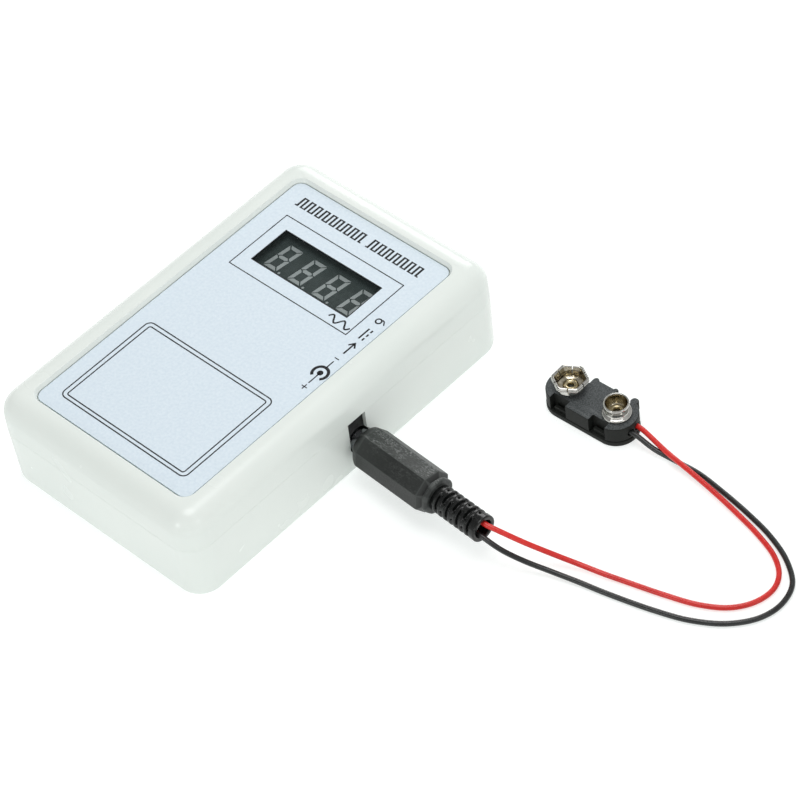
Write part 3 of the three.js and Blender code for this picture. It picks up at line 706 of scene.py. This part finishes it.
def make_case_top():
    edge = PARTING_EDGE
    outside = [(edge * (1 - rise), PARTING_Z + edge * inset) for inset, rise in quarter(3)]
    round_z = CASE_HEIGHT - TOP_ROUND
    drawn_in = draft_inset(round_z)
    outside += [(drawn_in + TOP_ROUND * inset, round_z + TOP_ROUND * rise) for inset, rise in quarter(12)]
    # the rim rolls over into the recess, which slopes down to the gap round the label
    rim = ((1.3, 0.0), (1.15, 0.00002), (1.03, 0.00007), (0.94, 0.00015))
    recess = [(-outward * RECESS_SLOPE, CASE_HEIGHT - drop) for outward, drop in rim]
    moat_width, moat_z = RECESS_MOAT
    recess += [(0, LABEL_TOP_Z), (0, moat_z), (moat_width, moat_z), (moat_width, RECESS_FLOOR_Z)]
    ceiling, bend = CASE_HEIGHT - CEILING, 0.003
    inside = [(WALL + bend * inset, ceiling - bend * (1 - rise)) for inset, rise in quarter(4)[::-1]]
    rebate_z = PARTING_Z + REBATE_HEIGHT
    inside += [(WALL, rebate_z), (REBATE_INSET, rebate_z), (REBATE_INSET, PARTING_Z)]
    hole = stack(PANE_HOLE, [(0, RECESS_FLOOR_Z), (0, ceiling)], WINDOW_CENTRE)
    rings = stack(CASE_OUTLINE, outside) + stack(RECESS, recess) + hole + stack(CASE_OUTLINE, inside)
    return part("case_top", loft(rings, wrap=True), "case", "ivory_plastic", "top_shell")


def make_case_bottom():
    edge = PARTING_EDGE
    rim = PARTING_Z - PARTING_GAP
    lip_z = PARTING_Z + LIP_HEIGHT
    bend = 0.001
    wall = [(WALL + bend * inset, WALL + bend * (1 - rise)) for inset, rise in quarter(3)[::-1]]
    wall += [(WALL, lip_z), (LIP_INSET, lip_z), (LIP_INSET, rim)]
    wall += [(edge * (1 - rise), rim - edge * inset) for inset, rise in quarter(3)]
    drawn_in = draft_inset(BASE_ROUND)
    wall += [(drawn_in + BASE_ROUND * inset, BASE_ROUND * (1 - rise)) for inset, rise in quarter(8)]
    rings = stack(CASE_OUTLINE, wall)
    obj = piece("case_bottom", loft(rings), MATERIALS["ivory_plastic"])
    post = turned([(SCREW_POST_RADIUS, 0.0010), (SCREW_POST_RADIUS, PARTING_Z - REBATE_HEIGHT)], 32)
    add(obj, [moved(post, x, y) for x, y in CASE_SCREW_SPOTS])
    rim_break = 0.00025
    screw_hole = turned([
        (SCREW_HEAD_RADIUS + rim_break, -0.001), (SCREW_HEAD_RADIUS + rim_break, 0.0),
        (SCREW_HEAD_RADIUS, rim_break), (SCREW_HEAD_RADIUS, SCREW_HEAD_DEPTH),
        (SCREW_SHANK_RADIUS, SCREW_HEAD_DEPTH), (SCREW_SHANK_RADIUS, PARTING_Z),
    ], 40)
    cut(obj, [moved(screw_hole, x, y) for x, y in CASE_SCREW_SPOTS])
    inside, outside = SOCKET_WALL
    half_slot = SLOT_WIDTH / 2
    cut(obj, [bar(inside, outside, SLOT_Y - half_slot, SLOT_Y + half_slot, SOCKET_Z, 0.0300, 0.0001)])
    hole = laid_along_x(turned([(SOCKET_RADIUS, inside), (SOCKET_RADIUS, outside)], 48))
    cut(obj, [moved(hole, 0, SOCKET_Y, SOCKET_Z)])
    return fit(obj, "case", "ivory_plastic", "bottom_shell")


# ---- label, print and display


def make_label():
    edge = LABEL_EDGE
    outside = [(edge * inset, LABEL_TOP_Z - edge * (1 - rise)) for inset, rise in quarter(3)]
    opening = [(-edge, LABEL_TOP_Z), (0, LABEL_TOP_Z - edge), (0, RECESS_FLOOR_Z)]
    rings = stack(LABEL, [(0, RECESS_FLOOR_Z), *outside]) + stack(WINDOW, opening, WINDOW_CENTRE)
    return part("label", loft(rings, wrap=True), "case", "label_film", "front_label")


def ink_outline(x0, x1, y0, y1, corner, line, low=LABEL_TOP_Z - INK_HEIGHT):
    """A printed rectangular line, which may reach down an edge to height low; where it runs down the edge it
    is painted shade.
    """
    centre = ((x0 + x1) / 2, (y0 + y1) / 2)
    size = (x1 - x0, y1 - y0, corner)
    high = LABEL_TOP_Z + INK_HEIGHT
    places = ((0, low), (0, high), (line, high), (line, low))
    return loft([inset_ring(size, inset, z, 8, centre) for inset, z in places], wrap=True)


def ink_stroke(points, line, closed=False):
    """A printed line of constant width through points on the label."""
    points = [Vector(p) for p in points]
    left, right = [], []
    last = len(points) - 1
    for i, point in enumerate(points):
        before = points[i - 1] if i > 0 or closed else point
        after = points[(i + 1) % len(points)] if i < last or closed else point
        steps = [v.normalized() for v in (point - before, after - point) if v.length > 0]
        along = (steps[0] + steps[-1]).normalized()
        across = Vector((-along.y, along.x))
        reach = line / 2 / max(0.4, along.dot(steps[0]))
        left.append(point + across * reach)
        right.append(point - across * reach)
    return loft(ink_band(left, right), wrap=closed)


def arc(x, y, radius, start, end, steps):
    """Points on a round line, with angles in degrees."""
    angles = [math.radians(start + (end - start) * i / steps) for i in range(steps + 1)]
    return [(x + radius * math.cos(a), y + radius * math.sin(a)) for a in angles]


def print_piece(name, bodies):
    obj = piece(name, join(*bodies), INK, even_normals=False)
    return fit(obj, "case", "label_film")


def ink_band(left, right):
    """A printed line between two lists of points on the label."""
    low, high = LABEL_TOP_Z - INK_HEIGHT, LABEL_TOP_Z + INK_HEIGHT
    return [[(*a, low), (*a, high), (*b, high), (*b, low)] for a, b in zip(left, right)]


def pulse_train(x, y, height, period, count):
    """A printed square wave with heavy upright strokes and finer level ones."""
    upright, level = 0.00026, 0.00017  # half the strokes' widths
    left, right = [(x, y + level)], [(x, y - level)]
    for i in range(count):
        rise, fall = x + (i + 0.3) * period, x + (i + 0.78) * period
        for px, py, climb in ((rise, y, 1), (rise, y + height, 1), (fall, y + height, -1), (fall, y, -1)):
            left.append((px - climb * upright, py + level))
            right.append((px + climb * upright, py - level))
    end = x + (count + 0.08) * period
    left.append((end, y + level))
    right.append((end, y - level))
    return loft(ink_band(left, right))


def make_print():
    title_y, title_height, period = 0.0349, 0.00265, 0.00222
    print_piece("print_pulse_train", [
        pulse_train(x, title_y, title_height, period, count) for x, count in ((-0.0190, 9), (0.0026, 7))
    ])
    (x, y), half_width, half_length = WINDOW_CENTRE, WINDOW[0] / 2 + WINDOW_LINE, WINDOW[1] / 2 + WINDOW_LINE
    print_piece("print_display_frame", [
        ink_outline(-0.0181, 0.0177, 0.0129, 0.0314, 0.0001, 0.00025),
        # the line round the window is print on the label's face, and it runs on down the opening's edge to
        # the recess floor as painted shade
        ink_outline(
            x - half_width, x + half_width, y - half_length, y + half_length, 0.0001, WINDOW_LINE + 0.00005,
            RECESS_FLOOR_Z,
        ),
    ])
    print_piece("print_square", [
        ink_outline(-0.01945, 0.0189, -0.03715, -0.0100, 0.0016, 0.0003),
        ink_outline(-0.0183, 0.01775, -0.0362, -0.01105, 0.0007, 0.0003),
    ])
    wave_x, wave_y, wave_length, wave_height, steps = 0.0107, 0.01485, 0.0064, 0.0009, 32
    wave = [
        (wave_x + wave_length * i / steps, wave_y + wave_height * math.sin(4 * math.pi * i / steps))
        for i in range(steps + 1)
    ]
    print_piece("print_wave_mark", [ink_stroke(wave, 0.00042)])
    make_supply_print()


def make_supply_print():
    """The centre-positive symbol, and an arrow, a direct-current mark and a nine for the supply."""
    x, y = 0.0209, 0.00165
    fine, thin, medium, bold = 0.00025, 0.0003, 0.0004, 0.0007
    print_piece("print_polarity_mark", [
        ink_stroke(arc(x, y, 0.00036, 0, 360, 16)[:-1], bold, closed=True),
        ink_stroke(arc(x, y, 0.0018, -52, 232, 40), bold),
        ink_stroke([(x, y), (x, y - 0.00355)], thin),
        ink_stroke([(x, y + 0.0021), (x, y + 0.0042)], thin),
        ink_stroke([(x, y - 0.0041), (x, y - 0.0056)], fine),
        ink_stroke([(x - 0.00075, y - 0.00485), (x + 0.00075, y - 0.00485)], fine),
        ink_stroke([(x - 0.0006, y + 0.00515), (x + 0.0006, y + 0.00515)], fine),
    ])
    top, foot = 0.0197, 0.0223
    middle = (top + foot) / 2
    arrow = [
        ink_stroke([(middle, 0.0087), (middle, 0.0122)], medium),
        ink_stroke([(middle - 0.0009, 0.0112), (middle, 0.0124), (middle + 0.0009, 0.0112)], medium),
    ]
    line_x, dash_x, current_y = middle - 0.0005, middle + 0.0005, 0.0139
    current = [ink_stroke([(line_x, current_y), (line_x, current_y + 0.0035)], medium)]
    for i in range(3):
        start = current_y + i * 0.00135
        current.append(ink_stroke([(dash_x, start), (dash_x, start + 0.0008)], medium))
    bowl_x, bowl_y = top + 0.00085, 0.0202
    tail = [(bowl_x + 0.0005, bowl_y + 0.00075), (bowl_x + 0.0011, bowl_y + 0.0006), (foot, bowl_y - 0.0003)]
    nine = [
        ink_stroke(arc(bowl_x, bowl_y, 0.00068, 0, 360, 20)[:-1], 0.00036, closed=True),
        ink_stroke(tail, thin),
    ]
    print_piece("print_supply_mark", arrow + current + nine)


def make_window():
    """The pane: a wide base under the case's ceiling, and a raised part that fills the label's opening."""
    edge, clearance = 0.00012, 0.0002
    base = (0.0334, 0.0146, 0.0003)
    raised = (WINDOW[0] - clearance, WINDOW[1] - clearance, 0.0003)
    low, high = (corner.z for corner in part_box("display_filter"))
    step_z = RECESS_FLOOR_Z - 0.00005
    top = [(0, step_z), *((edge * inset, high - edge * (1 - rise)) for inset, rise in quarter(3))]
    rings = stack(base, [(0, low), (0, step_z)], WINDOW_CENTRE) + stack(raised, top, WINDOW_CENTRE)
    return part("window_pane", loft(rings), "case", "smoked_window", "display_filter")


def digit_segments():
    """Outlines of the seven bars of an upright digit about its centre, mitred at the corners."""
    x, y, wide, gap = DIGIT_WIDTH / 2, DIGIT_HEIGHT / 2, SEGMENT_WIDTH, SEGMENT_GAP
    top = [(-x + gap, y), (x - gap, y), (x - wide - gap, y - wide), (-x + wide + gap, y - wide)]
    side = [
        (x, y - gap), (x, gap * 0.7), (x - wide * 0.35, gap * 0.7),
        (x - wide, wide / 2 + gap * 0.8), (x - wide, y - wide - gap),
    ]
    middle = [
        (-x + wide / 2 + gap, 0), (-x + wide + gap, wide / 2), (x - wide - gap, wide / 2),
        (x - wide / 2 - gap, 0), (x - wide - gap, -wide / 2), (-x + wide + gap, -wide / 2),
    ]
    outlines = [top, [(px, -py) for px, py in top], middle]
    for sx in (1, -1):
        for sy in (1, -1):
            outlines.append([(px * sx, py * sy) for px, py in side])
    return outlines


def raised_outline(outline, x, y, low, high):
    return loft([[(x + px, y + py, z) for px, py in outline] for z in (low, high)])


def make_display():
    low, high = DISPLAY_LOW, DISPLAY_HIGH
    housing = bar(low.x, high.x, low.y, high.y, low.z, high.z, 0.00025)
    part("display_body", housing, "case", "display_black", "display_housing")
    point = arc(DIGIT_WIDTH / 2 + 0.0009, -DIGIT_HEIGHT / 2 + 0.0001, 0.0003, 0, 360, 20)[:-1]
    for i in range(4):
        x = DIGIT_CENTRE[0] + (i - 1.5) * DIGIT_PITCH
        faces = []
        for outline in (*digit_segments(), point):
            slanted = [(px + py * DIGIT_SLANT, py) for px, py in outline]
            faces.append(raised_outline(slanted, x, DIGIT_CENTRE[1], high.z - 0.0001, high.z + 0.00003))
        digit = piece(f"display_digit_{i + 1}", join(*faces), SEGMENT_GREY, even_normals=False)
        fit(digit, "case", "display_black")


# ---- plug


def octagon_ring(radius, x, rounding):
    """Eight-sided ring about the plug's axis with rounded corners, and how much wear each point has."""
    points, wear = [], []
    for corner in range(8):
        direction = math.radians(22.5 + 45 * corner)
        centre = (radius - rounding) / math.cos(math.radians(22.5))
        for i in range(5):
            turn = direction + math.radians(-22.5 + 11.25 * i)
            y = centre * math.cos(direction) + rounding * math.cos(turn)
            z = centre * math.sin(direction) + rounding * math.sin(turn)
            points.append((x, y, z))
            wear.append(1.0 if 0 < i < 4 else 0.25)
    return points, wear


def make_plug_body():
    """Matte eight-sided grip, chamfered at both ends, with a low collar in front."""
    r, length = PLUG_RADIUS, PLUG_LENGTH
    crisp, soft = 0.0003, 0.0021
    rear = r - 0.00065
    # place along the plug, radius across its flats, rounding of its corners, and wear
    stations = [
        (0.0000, r - 0.0017, soft, 0.1), (0.0001, r - 0.0014, soft, 0.2),
        (0.0004, r - 0.0010, 0.0016, 0.3), (0.0009, r - 0.0006, 0.0011, 0.2),
        (0.0015, r - 0.00025, 0.0007, 0.3), (0.0021, r - 0.00005, crisp, 0.5),
        (0.0024, r, crisp, 0.6), (0.0027, r, crisp, 0.15),
        (length * 0.5, r, crisp, 0.0),
        (length - 0.0026, r, crisp, 0.15), (length - 0.0024, r - 0.00003, crisp, 0.9),
        (length - 0.0022, r - 0.00018, crisp, 0.4), (length - 0.0015, rear - 0.0003, 0.0012, 0.1),
        (length - 0.0013, rear - 0.0003, soft, 0.1), (length - 0.0011, rear, soft, 0.3),
        (length - 0.0007, rear + 0.00004, soft, 0.4), (length - 0.0003, rear - 0.0001, soft, 0.3),
        (length - 0.0001, rear - 0.00035, soft, 0.3), (length, rear - 0.0007, soft, 0.2),
    ]
    rings, wear = [], []
    for x, radius, rounding, station_wear in stations:
        points, ring_wear = octagon_ring(radius, x, rounding)
        rings.append(points)
        wear += [min(1.0, 0.75 * corner_wear + station_wear) * 0.5 for corner_wear in ring_wear]
    obj = piece("plug_grip", loft(rings), MATERIALS["plug_matte"], 35, plug_place())
    attribute = obj.data.attributes.new("wear", "FLOAT", "POINT")
    for item, value in zip(attribute.data, wear):
        item.value = value
    return fit(obj, "plug", "plug_matte", "plug_body")


def smooth_step(value, low, high):
    t = min(1.0, max(0.0, (value - low) / (high - low)))
    return t * t * (3 - 2 * t)


def relief_radius(x, angle):
    """Radius of the strain relief at x along it.

    Its short round-edged slots lie three to a ring, and every other ring is turned by half a slot's spacing.
    """
    first, pitch, rings = 0.0023, 0.00155, 7
    half_slot, depth, soft = 0.00022, 0.0007, 0.00036
    number = min(rings - 1, max(0, round((x - first) / pitch)))
    in_groove = 1 - smooth_step(abs(x - first - number * pitch), half_slot, half_slot + soft)
    turn = RELIEF_TURN + (number % 2) * math.pi / 3
    from_slot = abs(math.remainder(angle - turn, 2 * math.pi / 3))
    in_slot = 1 - smooth_step(from_slot, math.radians(36), math.radians(49))
    waist = 0.0002 * (1 - smooth_step(x, 0.0, first)) + 0.00006 * in_groove
    return RELIEF_RADIUS - waist - depth * in_groove * in_slot


def make_strain_relief():
    sides, steps = 120, 150
    start, end, lip = PLUG_LENGTH - 0.0004, PLUG_LENGTH + RELIEF_LENGTH, 0.0003
    rings = []

    def add_ring(x, radius_at):
        rings.append([(x, radius_at(a) * math.cos(a), radius_at(a) * math.sin(a)) for a in full_turn(sides)])

    for i in range(steps + 1):
        along = (end - lip - start) * i / steps
        add_ring(start + along, lambda a, along=along: relief_radius(along, a))
    for inset, rise in quarter(4):
        add_ring(end - lip * (1 - rise), lambda a, inset=inset: RELIEF_RADIUS - lip * inset)
    bore, bore_depth = 0.0022, 0.0025
    for inset, rise in quarter(4)[::-1]:
        add_ring(end - lip * (1 - rise), lambda a, inset=inset: bore + lip * inset)
    add_ring(end - bore_depth, lambda a: bore * 0.95)
    part("strain_relief", loft(rings), "plug", "relief_gloss", "plug_strain_relief", 50, plug_place(), False)


def sleeve(outer, inner, x0, x1, edge):
    """A tube along the plug's axis with a softened front rim."""
    profile = [(inner, x1), (inner, x0 + edge)]
    profile += [(inner + edge * (1 - rise), x0 + edge * inset) for inset, rise in quarter(3)]
    profile += [(outer - edge * inset, x0 + edge * (1 - rise)) for inset, rise in quarter(3)[::-1]]
    profile.append((outer, x1))
    return laid_along_x(turned(profile, 64, wrap=True))


def make_plug_contacts():
    """The barrel, its insulator and its inner contact, which run from the plug's front into the grip."""
    back = 0.0030
    for name, outer, inner, front, edge, slot, node in (
        ("barrel_sleeve", BARREL_RADIUS, 0.0023, 0.0, 0.00018, "tin", "plug_barrel"),
        ("barrel_insulator", 0.00225, 0.00165, -0.0002, 0.00012, "chip_black", "plug_insulator"),
        ("inner_contact", 0.0016, 0.0013, 0.0003, 0.0001, "brass", "plug_inner_contact"),
    ):
        body = sleeve(outer, inner, front - BARREL_LENGTH, back, edge)
        part(name, body, "plug", slot, node, 40, plug_place())


# ---- battery snap


def make_snap_body():
    place = snap_place()
    black = MATERIALS["snap_black"]
    base_size = (SNAP_LENGTH, SNAP_WIDTH + 0.0001, 0.00505)
    base = piece("snap_base_plate", slab(base_size, 0, SNAP_BASE_TOP, 0.0002, 20), black, place=place)
    add(base, [
        bar(x - 0.0015, x + 0.0015, side * 0.0040 - 0.0004, side * 0.0040 + 0.0004, 0.0010, 0.0024, 0.00008)
        for x, side in CLIP_SPOTS
    ], place=place)
    fit(base, "lead", "snap_black", "snap_base")
    cover_size = (SNAP_LENGTH - 0.0002, SNAP_WIDTH, 0.0050)
    cover_body = slab(cover_size, SNAP_BASE_TOP + 0.00005, SNAP_TOP, 0.00022, 20)
    cover = piece("snap_upper_cover", cover_body, black, place=place)
    cut(cover, [
        bar(x - 0.0022, x + 0.0022, side * 0.0046 - 0.0013, side * 0.0046 + 0.0013, -0.001, 0.010, 0.0001)
        for x, side in CLIP_SPOTS
    ], place=place)
    bumps = []
    rim = SNAP_TOP - 0.0002
    for x, radius in ((-0.0029, 0.00062), (0.0024, 0.00062), (0.0076, 0.00095)):
        dome = [(radius, 0.0026), (radius, rim - 0.0002), (radius * 0.9, rim - 0.00006), (radius * 0.7, rim)]
        bumps.append(moved(turned(dome, 24), x, SNAP_WIDTH / 2))
    add(cover, bumps, place=place)
    channel = laid_along_x(turned([(0.0009, 0.0093), (0.0009, 0.0140)], 24))
    cut(cover, [moved(channel, 0, y, 0.0030) for y in (-0.00105, 0.00105)], place=place)
    fit(cover, "lead", "snap_black", "snap_cover")
    return [base, cover]


def hexagon_radius(angle, flat):
    """Radius of a hexagon with softened corners and the given distance across half its flats."""
    corner = math.remainder(angle - math.pi / 6, math.pi / 3)
    sharp = flat / math.cos(math.pi / 6 - abs(corner))
    return min(sharp, flat * 1.115)


def make_socket_contact():
    """Six-sided crown of spring petals that flare to a rolled rim."""
    # height, radius, and how far from round to six-sided
    outer = [
        (0.0000, 0.0019, 0.0), (0.0001, 0.0023, 0.0), (0.0004, 0.0029, 0.1), (0.0006, 0.00315, 0.2),
        (0.0009, 0.00326, 0.4), (0.0013, 0.00322, 0.6), (0.0018, 0.0031, 0.8), (0.0021, 0.00312, 0.9),
        (0.0022, 0.0034, 1.0),
        (0.0023, 0.00366, 1.0), (0.00245, 0.00375, 1.0), (0.0026, 0.0037, 1.0), (0.00268, 0.0036, 1.0),
        (0.00276, 0.0036, 1.0), (0.00284, 0.0037, 1.0), (0.0030, 0.00375, 1.0), (0.00315, 0.00371, 1.0),
        (0.00327, 0.0036, 1.0), (0.00332, 0.00345, 1.0), (0.0033, 0.0033, 1.0), (0.0032, 0.00318, 1.0),
    ]
    inner = [
        (0.0030, 0.0031, 1.0), (0.0026, 0.0029, 1.0), (0.0022, 0.00268, 0.9), (0.0019, 0.0026, 0.8),
        (0.0016, 0.0027, 0.7), (0.0012, 0.0029, 0.5), (0.0008, 0.0028, 0.3), (0.00055, 0.0021, 0.1),
        (0.0005, 0.0017, 0.0), (0.0005, 0.0012, 0.0), (0.0000, 0.0012, 0.0),
    ]
    rings = []
    for height, radius, share in outer + inner:
        points = [(radius * (1 - share) + hexagon_radius(a, radius) * share, a) for a in full_turn(144)]
        rings.append([(reach * math.cos(a), reach * math.sin(a), height) for reach, a in points])
    place = snap_place(SOCKET_CONTACT_X, CONTACT_Z)
    obj = piece("crown_contact", loft(rings, wrap=True), MATERIALS["nickel"], 40, place, even_normals=False)
    slits = []
    for k in range(6):
        corners, faces = bar(0.0020, 0.0060, -0.00013, 0.00013, 0.0013, 0.0050, 0.00005)
        turn = Matrix.Rotation(k * math.pi / 3, 3, "Z")
        slits.append(([tuple(turn @ Vector(c)) for c in corners], faces))
    cut(obj, slits, 40, place)
    obj.data.materials.append(WARM_NICKEL)
    paint_inside(obj, place, 0.0034, 0.0029)
    return fit(obj, "lead", "nickel", "snap_socket_contact")


def paint_inside(obj, place, radius, height):
    """Faces that look inwards and lie below a height inside a contact take its second material."""
    back = place.inverted()
    turn = back.to_3x3()
    for face in obj.data.polygons:
        centre = back @ face.center
        normal = turn @ face.normal
        outward = Vector((centre.x, centre.y, 0))
        looks_in = normal.dot(outward) < 0 or normal.z > 0.7
        if looks_in and outward.length < radius and centre.z < height:
            face.material_index = 1


def make_stud_contact():
    """Round stud with a flange, a waist and a rolled rim round its open top."""
    profile = [
        (0.0012, 0.0000), (0.0030, 0.0000), (0.0032, 0.00008), (0.00328, 0.00028), (0.00328, 0.0005),
        (0.0032, 0.00068), (0.0030, 0.00076), (0.0027, 0.00082), (0.00256, 0.0010), (0.00252, 0.0014),
        (0.00254, 0.0019), (0.0026, 0.0023), (0.00272, 0.00262), (0.00284, 0.00286), (0.00288, 0.0031),
        (0.00286, 0.0033), (0.00276, 0.00346), (0.00264, 0.00353), (0.00252, 0.00348), (0.00244, 0.00334),
        (0.0024, 0.0030), (0.00236, 0.0024), (0.0023, 0.0016), (0.0021, 0.0010), (0.0018, 0.0007),
        (0.0015, 0.0006), (0.0012, 0.0006),
    ]
    place = snap_place(STUD_CONTACT_X, CONTACT_Z)
    body = turned(profile, 72, wrap=True)
    obj = piece("stud_contact", body, MATERIALS["nickel"], 50, place, even_normals=False)
    obj.data.materials.append(WARM_NICKEL)
    paint_inside(obj, place, 0.0025, 0.0032)
    return fit(obj, "lead", "nickel", "snap_stud_contact")


def make_rivet(name, x, floor, node):
    """A hollow rivet from inside the cover, with a rolled head on the contact's floor."""
    z = SNAP_TOP + floor
    profile = [
        (0.0006, 0.0020), (0.00095, 0.0020), (0.00095, z), (0.0017, z + 0.0001), (0.00178, z + 0.00025),
        (0.0017, z + 0.00042), (0.0014, z + 0.0006), (0.0010, z + 0.00062), (0.00072, z + 0.0004),
        (0.0006, z),
    ]
    return part(name, turned(profile, 40, wrap=True), "lead", "brass", node, 50, snap_place(x), False)


def make_snap():
    pieces = make_snap_body()
    pieces.append(make_socket_contact())
    pieces.append(make_stud_contact())
    pieces.append(make_rivet("crown_rivet", SOCKET_CONTACT_X, 0.0005, "snap_socket_rivet"))
    pieces.append(make_rivet("stud_rivet", STUD_CONTACT_X, 0.0006, "snap_stud_rivet"))
    return pieces


# ---- room


def make_floor():
    s = Surface("floor_paint")
    s.colour(s.tones(s.noise(8, 2), (188, 188, 188), (192, 192, 192)))
    s.roughness(s.spread(s.noise(20, 2), 0.7, 0.8))
    # a faint glow of its own keeps the shadows light
    s.shader.inputs["Emission Color"].default_value = (0.96, 1.0, 0.985, 1)
    s.shader.inputs["Emission Strength"].default_value = 0.64
    reach, clearance = 3.0, 0.00002
    mesh = bpy.data.meshes.new("floor")
    corners = [(x * reach, y * reach, 0) for x, y in ((-1, -1), (1, -1), (1, 1), (-1, 1))]
    mesh.from_pydata(corners, [], [(0, 1, 2, 3)])
    mesh.materials.append(s.material)
    floor = bpy.data.objects.new("floor", mesh)
    floor.location.z = -clearance
    bpy.context.scene.collection.objects.link(floor)


def make_softbox(name, direction, distance, size, power):
    """A round light of the given power in watts that looks at the object from a direction."""
    data = bpy.data.lights.new(name, "AREA")
    data.shape = "DISK"
    data.size = size
    data.energy = power
    light = bpy.data.objects.new(name, data)
    away = Vector(direction).normalized()
    light.location = LIGHTS_TARGET + away * distance
    light.rotation_mode = "QUATERNION"
    light.rotation_quaternion = away.to_track_quat("Z", "Y")
    bpy.context.scene.collection.objects.link(light)


def make_sky():
    """An even pale sky, darker towards the front left, where the window and the dark gloss look."""
    world = bpy.data.worlds.new("studio")
    world.use_nodes = True
    nodes, links = world.node_tree.nodes, world.node_tree.links
    facing = nodes.new("ShaderNodeVectorMath")
    facing.operation = "DOT_PRODUCT"
    facing.inputs[1].default_value = SKY_DARK_SIDE.normalized()
    links.new(nodes.new("ShaderNodeTexCoord").outputs["Generated"], facing.inputs[0])
    shade = nodes.new("ShaderNodeMapRange")
    shade.interpolation_type = "SMOOTHSTEP"
    shade.inputs["From Min"].default_value = 0.5
    shade.inputs["From Max"].default_value = 0.88
    shade.inputs["To Min"].default_value = SKY_PALE
    shade.inputs["To Max"].default_value = SKY_DARK
    links.new(facing.outputs["Value"], shade.inputs["Value"])
    background = nodes["Background"]
    background.inputs["Color"].default_value = (1.0, 1.0, 1.0, 1.0)
    links.new(shade.outputs["Result"], background.inputs["Strength"])
    bpy.context.scene.world = world


def make_room():
    make_floor()
    make_sky()
    make_softbox("back_softbox", (-0.50, 0.74, 0.44), 0.9, 0.45, 1.9)
    make_softbox("near_softbox", (0.0, -0.93, 0.36), 1.0, 0.22, 0.9)
    make_softbox("right_softbox", (0.86, -0.03, 0.51), 1.0, 0.22, 0.45)
    make_softbox("top_softbox", (0.0, 0.05, 1.0), 0.6, 0.36, 1.3)
    bpy.context.scene.view_settings.view_transform = "Standard"


# ---- assembly

make_camera()
wires = make_wires()
make_room()
dress_cad_nodes()
make_case_top()
make_case_bottom()
make_label()
make_print()
make_window()
make_display()
make_plug_body()
make_strain_relief()
make_plug_contacts()
declare_wires(wires, make_snap())
